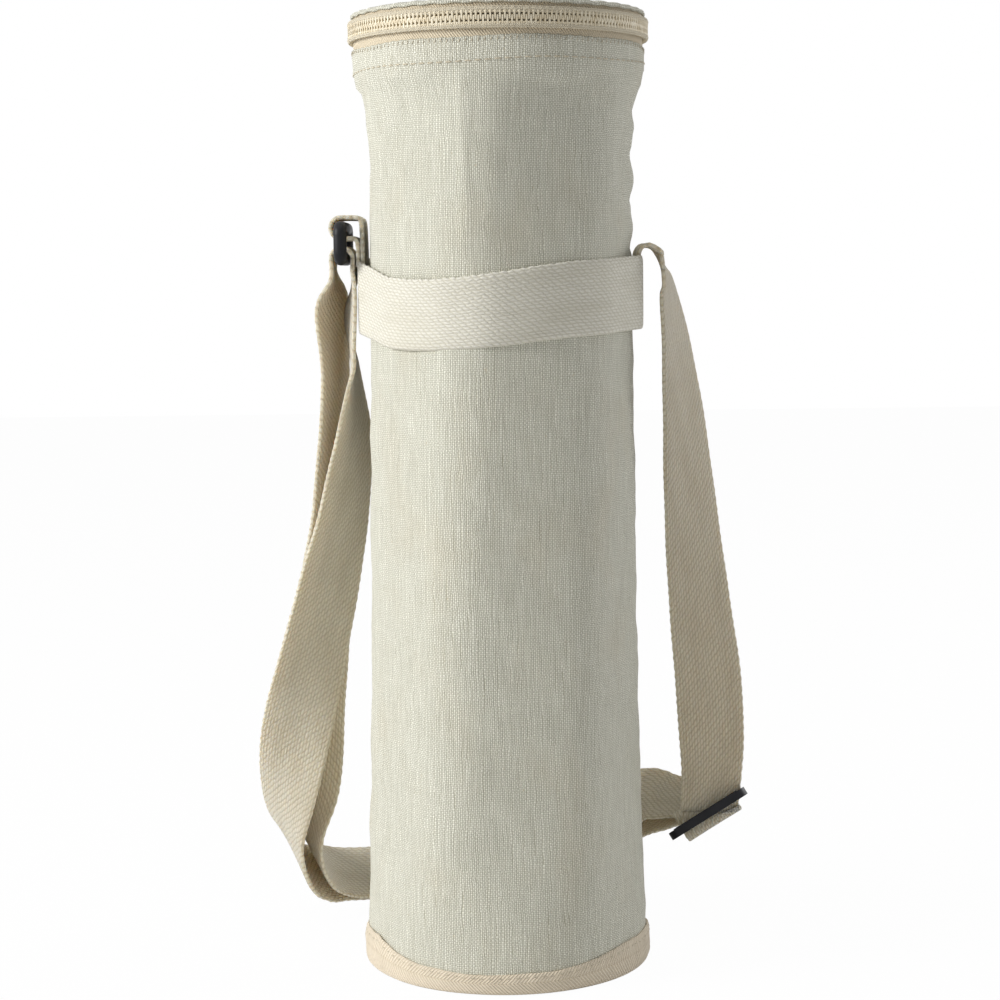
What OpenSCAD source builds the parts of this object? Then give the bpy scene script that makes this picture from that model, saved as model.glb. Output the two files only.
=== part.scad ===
// Insulated bottle carrier: a padded cloth tube with a zip-round lid, a webbing band
// and a shoulder strap that is reeved through a ring and a three-bar adjuster.
// The origin is the middle of the underside, +Z is up, and the lid hinges at the back, +Y.

/* [Tube] */
// Outer radius of the padded tube along its middle
body_r = 45.3; // [43:0.1:48]
// Height of the closed zip's centre line above the floor
zip_z = 316; // [296:1:340]
// How far the mouth stands out from the tube
mouth_flare = 4.3; // [3:0.1:6]
// Length over which the mouth widens
mouth_flare_h = 24; // [14:1:32]
// How far the foot stands out from the tube
foot_flare = 3.2; // [2:0.1:4]
// Length over which the foot widens
foot_flare_h = 80; // [50:1:100]
// Thickness of the linen cover
cloth_t = 1; // [0.8:0.1:1.2]
// Thickness of the insulating foam
foam_t = 3; // [2:0.25:4]
// Thickness of the coated liner
liner_t = 0.5; // [0.4:0.05:0.7]

/* [Base] */
// Height of the binding tape round the foot
binding_h = 8; // [6:0.5:11]
// Thickness of the binding tape
binding_t = 0.9; // [0.7:0.1:1.1]
// How far the soft base sags inside the binding
base_sag = 5.2; // [4:0.2:6]

/* [Zip] */
// Spacing of the coil's turns along the chain
tooth_pitch = 1.5; // [1.4:0.05:2]
// Thickness of one turn along the chain
tooth_t = 0.56; // [0.45:0.01:0.6]
// Height of one row of turns
tooth_h = 4.3; // [4:0.1:4.4]
// How far each row reaches past the centre line
tooth_reach = 0.9; // [0.6:0.05:1.1]
// Depth of the coil from the tape outwards
coil_t = 1.7; // [1.4:0.1:1.8]
// Thickness of the zip tape
tape_t = 0.6; // [0.5:0.05:0.7]
// Length of the slider along the chain
slider_l = 11; // [9:0.5:12]
// Height of the slider across the chain
slider_h = 9; // [8.6:0.1:9]
// Wall of the slider's plates
slider_t = 1.2; // [1:0.1:1.4]
// Length of the pull from its pin to its tip
pull_l = 24; // [16:1:32]
// Width of the pull's grip
pull_w = 6.5; // [5.5:0.5:9]

/* [Lid] */
// Rise of the lid's padded middle
lid_crown = 1.4; // [0.5:0.1:2]
// Half of the angle that the cloth hinge covers
hinge_half_a = 24; // [16:1:24]

/* [Webbing] */
// Width of the webbing
web_w = 25; // [22:0.5:25.5]
// Thickness of the webbing
web_t = 1.5; // [1.2:0.1:1.5]
// How far the band's upper edge lies below the zip's centre line
band_drop = 78; // [70:1:100]
// Distance of the strap's ends behind the tube's middle
anchor_y = 4; // [0:0.5:6]
// How far the strap's lower fold stands out from the tube
strap_reach = 34.2; // [32:0.2:38]

/* [Ring and adjuster] */
// Thickness of the ring's bars
ring_bar_d = 4.4; // [3.6:0.2:4.6]
// Spacing of the ring's long bars, centre to centre
ring_bar_gap = 10.4; // [10:0.2:12]
// Length of the adjuster along its bars
glide_l = 31; // [30:0.5:33]
// Depth of the adjuster across its bars
glide_w = 19; // [18.6:0.2:21]
// Thickness of the adjuster
glide_t = 2.8; // [2.2:0.1:2.8]
// Width of each of the adjuster's three bars
glide_bar_w = 3; // [2.6:0.1:3.2]

/* [Hidden] */
$fn = 96;

linen = "#d9d6c4";
cream = "#ead9bd";
webbing_colour = "#d8d2bf";
foam_colour = "#f2f2ee";
liner_colour = "#d5d9dc";
black = "#232427";
metal = "#c9c4b4";

// Clearances: between plies of one seam, and between pieces that move past each other
ply_gap = 0.1;
run_gap = 0.3;
overrun = 1;

// Heights and radii of the mouth, from the zip's centre line outwards
hem_drop = 5.5;
hem_z = zip_z - hem_drop;
mouth_r = body_r + mouth_flare;
tape_r = mouth_r - cloth_t - ply_gap;
tape_edge_drop = 1.4;
tape_sewn_h = 8;
coil_r = tape_r + ply_gap / 2;
wall_top_z = hem_z - cloth_t;
foot_r = body_r + foot_flare;
foot_edge_z = binding_t + run_gap;
wall_steps = 6;

// The zip's ends, as angles from the back. The slider parks in the bay past the right end.
bay_a = 18;
chain_right_a = hinge_half_a + bay_a;
chain_left_a = hinge_half_a + 2;
park_a = hinge_half_a + bay_a / 2 + 2;
tape_ply_a = 0.5;
back_a = 90;
whole_turn = 360;

// Outside of the tube at height z: the waist with its widening foot and mouth
function ease(t) = let (c = max(0, min(1, t))) c * c * (3 - 2 * c);
function wall_r(z) = body_r + foot_flare * ease((foot_flare_h - z) / foot_flare_h)
    + mouth_flare * ease((z - (hem_z - tape_sewn_h - mouth_flare_h)) / mouth_flare_h);
flare_z = hem_z - tape_sewn_h - mouth_flare_h;
wall_zs = concat([for (k = [0:wall_steps]) foot_flare_h * k / wall_steps],
    [for (k = [0:wall_steps]) flare_z + mouth_flare_h * k / wall_steps]);

module ply(inside, t, z0, z1) {
    zs = concat([z0], [for (z = wall_zs) if (z > z0 + run_gap && z < z1 - run_gap) z], [z1]);
    outer = [for (z = zs) [wall_r(z) - inside, z]];
    inner = [for (k = [len(zs) - 1:-1:0]) [wall_r(zs[k]) - inside - t, zs[k]]];
    rotate_extrude() polygon(concat(outer, inner));
}

// Radial steps through the wall
foam_in = cloth_t + ply_gap;
liner_in = foam_in + foam_t + ply_gap;
foam_top_inset = tape_t + 2 * ply_gap;

module outer_shell() {
    color(linen) ply(0, cloth_t, foot_edge_z, hem_z);
}

module tube_void() {
    translate([0, 0, hem_z - tape_sewn_h - ply_gap])
        difference() {
            cylinder(r = mouth_r + overrun, h = tape_sewn_h + overrun);
            translate([0, 0, -overrun])
                cylinder(r = mouth_r - cloth_t - foam_top_inset, h = tape_sewn_h + 3 * overrun);
        }
}

module foam_wall() {
    color(foam_colour) difference() {
        ply(foam_in, foam_t, base_seat_z, wall_top_z);
        tube_void();
    }
}

module liner_wall() {
    color(liner_colour) ply(liner_in, liner_t, base_seat_z + foam_t + 2 * ply_gap, wall_top_z);
}

// Base: the panel is turned down inside the wall and sags to the floor in the middle
flange_r = foot_r - cloth_t - ply_gap;
base_seat_z = base_sag + cloth_t + ply_gap;
sag_in = liner_in + foam_t;
sag_ramp = 5;
rim_r = foot_r - sag_in;
stack_top_z = base_seat_z + foam_t + liner_t + 2 * ply_gap;

module dish(z, t, r) {
    low_r = rim_r - z / 2;
    top_r = rim_r - (z + t) / 2;
    rotate_extrude() polygon([[0, z], [low_r - sag_ramp, z], [low_r, z + base_sag],
        [r, z + base_sag], [r, z + base_sag + t], [top_r, z + base_sag + t],
        [top_r - sag_ramp, z + t], [0, z + t]]);
}

module base_cover() {
    color(linen) union() {
        dish(0, cloth_t, flange_r);
        translate([0, 0, foot_edge_z]) difference() {
            cylinder(r = flange_r, h = base_seat_z - foot_edge_z - ply_gap);
            translate([0, 0, -overrun]) cylinder(r = flange_r - cloth_t, h = base_seat_z + overrun);
        }
    }
}

module base_foam() {
    color(foam_colour)
        dish(cloth_t + ply_gap, foam_t, wall_r(stack_top_z) - foam_in - foam_t - ply_gap);
}

module base_liner() {
    color(liner_colour)
        dish(cloth_t + foam_t + 2 * ply_gap, liner_t,
            wall_r(stack_top_z) - liner_in - liner_t - ply_gap);
}

module base_binding() {
    inner_r = flange_r - cloth_t - ply_gap;
    outer_r = foot_r + ply_gap;
    inner_h = base_sag - ply_gap;
    soft_r = binding_t / 2;
    color(cream) rotate_extrude() difference() {
        union() {
            translate([inner_r - binding_t, soft_r])
                square([outer_r - inner_r + 2 * binding_t, binding_h - binding_t]);
            translate([inner_r - soft_r, soft_r]) circle(r = soft_r);
            translate([outer_r + soft_r, soft_r]) circle(r = soft_r);
            translate([inner_r - soft_r, 0]) square([outer_r - inner_r + binding_t, soft_r]);
            translate([outer_r + soft_r, binding_h - soft_r]) circle(r = soft_r);
        }
        translate([inner_r, binding_t]) square([outer_r - inner_r, binding_h]);
        translate([inner_r - binding_t - overrun, inner_h])
            square([binding_t + 2 * overrun, binding_h]);
    }
}

// Zip: tapes, and two rows of turns that interlock round the mouth
chain_a = whole_turn - chain_right_a - chain_left_a;
tooth_a = whole_turn * tooth_pitch / (2 * PI * (coil_r + coil_t / 2));
tooth_count = floor(chain_a / tooth_a) - 1;
tooth_arc = 45;

// Sweeps its 2D child round the mouth, from one angle past the back to another
module round_mouth(from_a, to_a) {
    rotate([0, 0, back_a + from_a]) rotate_extrude(angle = to_a - from_a) children();
}

module tooth() {
    r = coil_t / 2;
    head = [for (a = [0:tooth_arc:180]) [r + r * cos(a), tooth_reach - r + r * sin(a)]];
    root = [for (a = [180:tooth_arc:360]) [r + r * cos(a), tooth_reach - tooth_h + r + r * sin(a)]];
    translate([coil_r, 0, 0]) rotate([90, 0, 0])
        linear_extrude(tooth_t, center = true) polygon(concat(head, root));
}

module coil(step) {
    for (k = [0:tooth_count - 1])
        rotate([0, 0, back_a + chain_left_a + (k + 0.5 + step) * tooth_a]) children();
}

module zip_coil_lower() {
    color(cream) translate([0, 0, zip_z]) coil(0) tooth();
}

module zip_coil_upper() {
    color(cream) translate([0, 0, zip_z]) coil(0.5) mirror([0, 0, 1]) tooth();
}

module zip_tape_lower() {
    color(cream) round_mouth(hinge_half_a + tape_ply_a, whole_turn - hinge_half_a - tape_ply_a)
        translate([tape_r - tape_t, hem_z - tape_sewn_h])
            square([tape_t, zip_z - tape_edge_drop - hem_z + tape_sewn_h]);
}

// Lid: the upper tape turns in under the cover, over a foam disc in its liner
lid_rim_z = zip_z + slider_h / 2 + run_gap;
lid_tape_in = 8;
lid_foam_r = tape_r - tape_t - run_gap - slider_t - 4 * run_gap - liner_t;
lid_rim_drop = tape_t + ply_gap;

module zip_tape_upper() {
    color(cream) round_mouth(chain_left_a - 1, whole_turn - chain_right_a) union() {
        translate([tape_r - tape_t, zip_z + tape_edge_drop])
            square([tape_t, lid_rim_z + tape_t - zip_z - tape_edge_drop]);
        translate([tape_r - lid_tape_in, lid_rim_z]) square([lid_tape_in, tape_t]);
    }
}

module lid_cover() {
    z = lid_rim_z + lid_rim_drop;
    edge_r = cloth_t / 2;
    color(linen) rotate_extrude() union() {
        polygon([[0, z + lid_crown], [mouth_r - lid_tape_in - cloth_t, z], [mouth_r - edge_r, z],
            [mouth_r - edge_r, z + cloth_t], [mouth_r - lid_tape_in - cloth_t, z + cloth_t],
            [mouth_r / 2, z + cloth_t + lid_crown * 0.8], [0, z + cloth_t + lid_crown]]);
        translate([mouth_r - edge_r, z + edge_r]) circle(r = edge_r);
        translate([mouth_r - cloth_t, lid_rim_z]) square([cloth_t, lid_rim_drop + edge_r]);
    }
}

module lid_foam() {
    top = lid_rim_z - ply_gap;
    crown_r = tape_r - lid_tape_in - ply_gap;
    color(foam_colour) rotate_extrude() polygon([[0, top - foam_t], [lid_foam_r, top - foam_t],
        [lid_foam_r, top], [crown_r, top], [crown_r - foam_t, top + tape_t], [0, top + tape_t]]);
}

module lid_liner() {
    top = lid_rim_z - ply_gap;
    floor_z = top - foam_t - ply_gap - liner_t;
    color(liner_colour) translate([0, 0, floor_z]) difference() {
        cylinder(r = lid_foam_r + ply_gap + liner_t, h = top - floor_z);
        translate([0, 0, liner_t]) cylinder(r = lid_foam_r + ply_gap, h = top - floor_z + overrun);
    }
}

module lid_hinge_strip() {
    color(linen) round_mouth(-hinge_half_a, hinge_half_a)
        translate([tape_r - tape_t, hem_z - tape_sewn_h])
            square([tape_t, lid_rim_z - ply_gap - hem_z + tape_sewn_h]);
}

// Slider: two plates joined by a wedge, with flanges that leave a slot for the tape, and a pin
// that the pull swings on. It is drawn at angle zero and turned to where it parks.
plate_in_r = tape_r - tape_t - 2 * run_gap - slider_t;
plate_out_r = coil_r + coil_t + 1.5 * run_gap;
flange_w = slider_h / 2 - (tooth_h - tooth_reach) - run_gap;
wedge_h = 2 * (tape_edge_drop - run_gap);
wedge_l = slider_l / 3;
slider_nose_r = slider_l / 3;
pin_d = 1.4;
lug_w = 1.2;
eye_w = 4.4;
eye_d = pin_d + 2 * run_gap;
pull_t = 1;
pin_r = plate_out_r + slider_t + run_gap + eye_d / 2 + pull_t;
lug_span = eye_w + 2 * run_gap;

// Outline of the plates seen from outside: a square tail and a broad nose with cut corners
module slider_outline() {
    nose_y = slider_l / 2 - slider_nose_r;
    side = slider_h / 2;
    tail = side - flange_w / 2;
    polygon([
        [-slider_l / 2, -tail], [nose_y - slider_nose_r, -tail],
        for (a = [-90:30:0]) [nose_y + slider_nose_r * cos(a), slider_nose_r * (1 + sin(a)) - side],
        for (a = [0:30:90]) [nose_y + slider_nose_r * cos(a), side - slider_nose_r * (1 - sin(a))],
        [nose_y - slider_nose_r, tail], [-slider_l / 2, tail]
    ]);
}

module slider_flange() {
    intersection() {
        slider_outline();
        translate([-slider_l, slider_h / 2 - flange_w]) square([2 * slider_l, slider_h]);
    }
}

module facing_out(x, t) {
    translate([x, 0, 0]) rotate([90, 0, 90]) linear_extrude(t) children();
}

module at_park() {
    rotate([0, 0, back_a - park_a]) translate([0, 0, zip_z]) children();
}

module zip_slider() {
    flange_x = tape_r + run_gap;
    color(metal) at_park() union() {
        facing_out(plate_in_r, slider_t) slider_outline();
        facing_out(plate_out_r, slider_t) slider_outline();
        facing_out(flange_x, plate_out_r + slider_t / 2 - flange_x) slider_flange();
        facing_out(flange_x, plate_out_r + slider_t / 2 - flange_x) mirror([0, 1, 0]) slider_flange();
        translate([plate_in_r + slider_t / 2, slider_l / 2 - wedge_l - slider_t, -wedge_h / 2])
            cube([plate_out_r - plate_in_r, wedge_l, wedge_h]);
        for (s = [-1, 1])
            translate([plate_out_r + slider_t / 2, s * (lug_span + lug_w) / 2 - lug_w / 2, -pin_d])
                cube([pin_r - plate_out_r - slider_t / 2 + pin_d, lug_w, 2 * pin_d]);
        translate([pin_r, 0, 0]) rotate([90, 0, 0])
            cylinder(d = pin_d, h = lug_span + lug_w, center = true);
    }
}

// Pull: an eye round the slider's pin, a neck and a rounded grip with a hole near its tip
module zip_pull() {
    neck_w = eye_w - 2 * run_gap;
    hole_d = pull_w / 3;
    tip_z = -pull_l + pull_w / 2;
    color(metal) at_park() translate([pin_r, 0, 0]) difference() {
        union() {
            rotate([90, 0, 0]) cylinder(d = eye_d + 2 * pull_t, h = eye_w, center = true);
            rotate([90, 0, 90]) linear_extrude(pull_t, center = true) difference() {
                union() {
                    translate([-neck_w / 2, tip_z]) square([neck_w, -tip_z]);
                    translate([0, tip_z]) circle(d = pull_w);
                    translate([-pull_w / 2, tip_z]) square([pull_w, pull_l / 3]);
                }
                translate([0, tip_z]) circle(d = hole_d);
            }
        }
        rotate([90, 0, 0]) cylinder(d = eye_d, h = eye_w + overrun, center = true);
    }
}

// Band: webbing round the tube, lifted on each side over the end that is sewn under it
band_z = zip_z - band_drop - web_w;
seat_x = body_r + 2 * ply_gap;
pocket_x = seat_x + web_t + ply_gap;
band_top_z = band_z + web_w;
pocket_half = web_w / 2 + ply_gap;
pocket_ramp = 5;

module band_outline(t) {
    r = body_r + ply_gap;
    near_a = asin((anchor_y - pocket_half - pocket_ramp) / r);
    far_a = asin((anchor_y + pocket_half + pocket_ramp) / r);
    corners = [(r + t - ply_gap) * [cos(near_a), sin(near_a)],
        [pocket_x + t, anchor_y - pocket_half - t / 3],
        [pocket_x + t, anchor_y + pocket_half + t / 3],
        (r + t - ply_gap) * [cos(far_a), sin(far_a)]];
    union() {
        circle(r = r + t);
        polygon(concat(corners, [for (k = [3:-1:0]) [-corners[k][0], corners[k][1]]]));
    }
}

module band_webbing() {
    color(webbing_colour) translate([0, 0, band_z]) linear_extrude(web_w) difference() {
        band_outline(web_t);
        band_outline(0);
    }
}

// Sewn ends: each profile lies in the plane across the tube and is as deep as the webbing
swing_x = pocket_x + web_t + 1.5 * ply_gap;
sewn_below_edge = 4;
sewn_h = web_w - sewn_below_edge;
bend_r = 1.5;
ring_slack = 0.5;
turn_r = ring_bar_d / 2 + ring_slack;
ring_out = 8;
ring_rise = 13.6;
ring_x = body_r + ring_out;
ring_top_z = band_top_z + ring_rise;
ring_low_z = ring_top_z - ring_bar_gap;
loop_z = ring_top_z + turn_r + web_t;
arch_r = 2.5;
arch_rise = 3;
arch_z = band_top_z + arch_rise;

module deep(w) {
    translate([0, anchor_y, 0]) rotate([90, 0, 0]) linear_extrude(w, center = true) children();
}

module arc(r, from_a, to_a) {
    reach = 3 * (r + web_t);
    middle_a = (from_a + to_a) / 2;
    intersection() {
        difference() {
            circle(r = r + web_t);
            circle(r = r);
        }
        polygon([[0, 0], reach * [cos(from_a), sin(from_a)], reach * [cos(middle_a), sin(middle_a)],
            reach * [cos(to_a), sin(to_a)]]);
    }
}

module loop_outline() {
    union() {
        translate([seat_x, band_top_z - sewn_h])
            square([web_t, loop_z - web_t - bend_r - band_top_z + sewn_h]);
        translate([seat_x + web_t + bend_r, loop_z - web_t - bend_r]) arc(bend_r, 90, 180);
        translate([seat_x + web_t + bend_r, loop_z - web_t])
            square([ring_x - seat_x - web_t - bend_r, web_t]);
        translate([ring_x, ring_top_z]) arc(turn_r, -90, 90);
        translate([seat_x + 2 * web_t + bend_r, ring_top_z - turn_r - web_t])
            square([ring_x - seat_x - 2 * web_t - bend_r, web_t]);
        translate([seat_x + 2 * web_t + bend_r, ring_top_z - turn_r - web_t - bend_r])
            arc(bend_r, 90, 180);
        translate([seat_x + web_t, band_top_z + 2 * ply_gap])
            square([web_t, ring_top_z - turn_r - web_t - bend_r - band_top_z - 2 * ply_gap]);
    }
}

module past_swing_plane() {
    translate([swing_x, anchor_y - web_w, band_z]) cube([web_w, 2 * web_w, 3 * web_w]);
}

module ring_loop_root() {
    color(webbing_colour) mirror([1, 0, 0]) difference() {
        deep(web_w) loop_outline();
        past_swing_plane();
    }
}

module ring_loop() {
    color(webbing_colour) mirror([1, 0, 0]) intersection() {
        deep(web_w) loop_outline();
        past_swing_plane();
    }
}

module strap_root() {
    color(webbing_colour) difference() {
        deep(web_w) union() {
            translate([seat_x, band_top_z - sewn_h]) square([web_t, arch_z - band_top_z + sewn_h]);
            translate([seat_x + web_t + arch_r, arch_z]) arc(arch_r, 90, 180);
            translate([seat_x + web_t + arch_r, arch_z + arch_r]) square([web_t, web_t]);
        }
        past_swing_plane();
    }
}

// Ring: a rounded rectangle of round bar that hangs in the loop and carries the strap
module strap_ring() {
    r = ring_bar_d / 2;
    half = web_w / 2 + run_gap + r;
    corner = r + run_gap;
    span = half - corner + r;
    color(black) translate([-ring_x, anchor_y, ring_top_z - ring_bar_gap / 2]) union() {
        for (s = [-1, 1]) {
            translate([0, 0, s * ring_bar_gap / 2]) rotate([90, 0, 0])
                cylinder(r = r, h = 2 * span, center = true);
            translate([0, s * (span + corner), 0])
                cylinder(r = r, h = ring_bar_gap - 2 * corner, center = true);
        }
        for (q = [0:3])
            translate([0, (q % 3 == 0 ? 1 : -1) * span, (q < 2 ? 1 : -1) * (ring_bar_gap / 2 - corner)])
                rotate([90 * q, 0, 0]) rotate([90, 0, 90]) rotate_extrude(angle = 90)
                    translate([corner, 0]) circle(r = r);
    }
}

module strap_ring_turn() {
    color(webbing_colour) mirror([1, 0, 0]) deep(web_w)
        translate([ring_x, ring_low_z]) arc(turn_r, 0, 180);
}

// Adjuster, drawn flat: its bars along x, the strap runs along y and leaves upwards
reach_steps = 34.2;
lay = strap_reach / reach_steps;
glide_at = [body_r + 26.9 * lay, 22 * lay, 42.8 * lay];
glide_turn = [-14, -32, 0];
pass_w_share = 0.88;
pass_w = web_w * pass_w_share;
glide_end_r = 3.2;
fold_gap = 0.25;
fold_x = glide_bar_w / 2 + fold_gap;
fold_z = glide_t / 2 + fold_gap;
pass_y = fold_x + web_t + 1.5 * run_gap;
pass_low_z = fold_z + web_t + fold_gap;
pass_bend_r = 2;
slot_l = web_w + 4 * run_gap;
pass_end_y = glide_w / 2 + web_t;
tail_end_y = pass_end_y + ply_gap;
pass_top_z = fold_z + web_t + 3 * run_gap;
tail_z = fold_z + web_t + ply_gap + fold_gap;

module at_glide() {
    translate(glide_at) rotate(glide_turn) children();
}

module tri_glide() {
    rib_d = 0.8;
    color(black) at_glide() union() {
        translate([0, 0, -glide_t / 2]) linear_extrude(glide_t) difference() {
            union() {
                square([glide_l - 2 * glide_end_r, glide_w], center = true);
                square([glide_l, glide_w - 2 * glide_end_r], center = true);
                for (s = [-1, 1], e = [-1, 1])
                    translate([s * (glide_l / 2 - glide_end_r), e * (glide_w / 2 - glide_end_r)])
                        circle(r = glide_end_r);
            }
            for (s = [-1, 1])
                translate([0, s * (glide_w - glide_bar_w) / 4])
                    square([slot_l, (glide_w - 3 * glide_bar_w) / 2], center = true);
        }
        for (s = [-1, 1])
            translate([0, s * (glide_w - glide_bar_w) / 2, glide_t / 2]) rotate([0, 90, 0])
                cylinder(d = rib_d, h = slot_l, center = true);
    }
}

// A profile across the adjuster's bars, drawn with x along the strap and y upwards
module across_glide(w) {
    at_glide() rotate([90, 0, 90]) linear_extrude(w, center = true) children();
}

module strap_end_fold() {
    inner_r = 0.5;
    color(webbing_colour) across_glide(pass_w) union() {
        difference() {
            translate([-fold_x - web_t, -fold_z - web_t])
                square([2 * (fold_x + web_t), 2 * fold_z + 2 * web_t + inner_r]);
            translate([-fold_x, -fold_z]) square([2 * fold_x, 2 * fold_z]);
        }
        translate([-fold_x - web_t, fold_z]) square([web_t, tail_z + web_t - fold_z]);
        translate([fold_x, fold_z]) square([web_t, tail_z - fold_z]);
        translate([-fold_x - web_t, tail_z + web_t])
            square([tail_end_y + fold_x + web_t, web_t]);
        translate([fold_x, tail_z]) square([tail_end_y - fold_x, web_t]);
    }
}

module strap_glide_pass() {
    far_y = pass_y + web_t + pass_bend_r;
    bend_z = fold_z + ply_gap - pass_bend_r;
    low_r = pass_y - fold_x - web_t + ply_gap;
    color(webbing_colour) across_glide(pass_w) union() {
        translate([-pass_y - web_t, -pass_low_z]) square([web_t, pass_low_z + pass_top_z]);
        translate([-pass_y, -pass_low_z]) arc(0, 180, 270);
        translate([-pass_y, -pass_low_z - web_t]) square([2 * pass_y, web_t]);
        translate([pass_y, -pass_low_z]) arc(0, 270, 360);
        translate([pass_y, -pass_low_z]) square([web_t, pass_low_z + bend_z]);
        translate([far_y, bend_z]) arc(pass_bend_r, 90, 180);
        translate([far_y, bend_z + pass_bend_r]) square([pass_end_y - far_y, web_t]);
    }
}

// Strap route. Each row is a place on the webbing's middle, the direction across it from its
// left edge to its right edge, and its width as a share of web_w. The places are chosen by
// hand. They are drawn in steps of lay from the tube's side or back, or from the adjuster,
// and high up as shares of the height at which the strap hangs.
function side(s, out, y, z, across, share) =
    [s * (body_r + out * lay), y * lay, z, each across, share];
function rear(x_share, back, z, across, share) =
    [body_r * x_share, body_r + back * lay, z * lay, each across, share];
function by_glide(step, across, share) = [each (glide_at + lay * step), each across, share];
function on_glide(y, z, across) = [each (glide_at + y * glide_axis_y + z * glide_axis_z),
    each across, pass_w_share];
function high(share) = ring_low_z * share;
glide_axis_x = [cos(glide_turn[1]), 0, -sin(glide_turn[1])];
glide_axis_y = [sin(glide_turn[0]) * sin(glide_turn[1]), cos(glide_turn[0]),
    sin(glide_turn[0]) * cos(glide_turn[1])];
glide_axis_z = [cos(glide_turn[0]) * sin(glide_turn[1]), -sin(glide_turn[0]),
    cos(glide_turn[0]) * cos(glide_turn[1])];

// Where the runs begin and end: clear of the band, the ring's turn and what the adjuster holds
clear_x = pocket_x + 1.5 * web_t + run_gap;
turn_gap = 1.5 * ply_gap;
thread_gap = run_gap + ply_gap;
root_z = arch_z + arch_r + web_t / 2;

right_run = [
    [swing_x + ply_gap, anchor_y, root_z, 0, 1, 0, 1],
    [swing_x + web_t, anchor_y, root_z - ply_gap, 0, 1, 0, 1],
    side(1, 8.2, 4.5, high(1.004), [0, 1, 0], 1),
    side(1, 10.6, 5.3, high(0.975), [0.12, 0.99, 0], 1),
    side(1, 12.1, 6.3, high(0.946), [0.27, 0.96, 0], 1),
    side(1, 15.4, 8, high(0.851), [0.47, 0.88, 0], 1),
    side(1, 18.1, 10.5, high(0.735), [0.65, 0.76, 0], 1),
    side(1, 20.2, 12.5, high(0.627), [0.77, 0.64, 0], 1),
    side(1, 23, 15, high(0.51), [0.87, 0.49, 0], 1),
    side(1, 26.4, 17, high(0.386), [0.94, 0.3, 0.08], 1),
    by_glide([1.1, -4, 27.7], [0.9, 0.15, 0.26], 0.96),
    by_glide([0.3, -3.8, 13.7], [0.86, 0.05, 0.45], 0.88),
    on_glide(-pass_y - web_t / 2, pass_top_z + 1.5 * thread_gap, glide_axis_x)];

long_run = [
    [turn_r + web_t / 2 - ring_x, anchor_y, ring_low_z - turn_gap, 0, 1, 0, 1],
    [-clear_x - run_gap, anchor_y + run_gap, high(0.934), 0.02, 1, 0, 1],
    [-clear_x - 4 * run_gap, anchor_y + web_t, high(0.884), 0.06, 1, 0, 1],
    side(-1, 5.2, 8.5, high(0.834), [0.26, 0.96, 0], 1),
    side(-1, 6.9, 12, high(0.726), [0.48, 0.87, -0.02], 1),
    side(-1, 10.6, 15, high(0.631), [0.64, 0.76, -0.06], 1),
    side(-1, 15.4, 18, high(0.544), [0.79, 0.6, -0.1], 1),
    side(-1, 22.2, 21, high(0.427), [0.9, 0.4, -0.14], 1),
    side(-1, 29.2, 24, high(0.311), [0.93, 0, -0.24], 1),
    side(-1, 33.2, 27, 51.3 * lay, [0.8, -0.52, -0.28], 1),
    side(-1, 34.2, 31, 36.5 * lay, [0.57, -0.74, -0.34], 1),
    side(-1, 32.5, 37, 25.2 * lay, [0.36, -0.86, -0.36], 1),
    side(-1, 29.6, 44, 17.2 * lay, [0.22, -0.9, -0.4], 1),
    side(-1, 25.6, 51, 12 * lay, [0.14, -0.88, -0.46], 1),
    side(-1, 18.6, 58.5, 9.4 * lay, [0.06, -0.85, -0.52], 1),
    rear(-1.073, 18.7, 9, [0, -0.83, -0.55], 1),
    rear(-0.558, 21.7, 10.4, [0, -0.83, -0.55], 1),
    rear(0, 21.2, 15.4, [0, -0.83, -0.56], 1),
    rear(0.558, 16.7, 25.2, [0, -0.8, -0.6], 1),
    rear(1.07, 9.2, 35.5, [-0.1, -0.76, -0.64], 1),
    by_glide([-11.7, 26, -2.9], [-0.35, -0.7, -0.62], 0.96),
    by_glide([-3.3, 19, -0.6], [-0.7, -0.45, -0.55], 0.88),
    by_glide([-0.3, 14.3, -0.7], [-0.82, -0.1, -0.54], 0.88),
    on_glide(pass_end_y + thread_gap, fold_z + ply_gap + web_t / 2, -glide_axis_x)];

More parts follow.
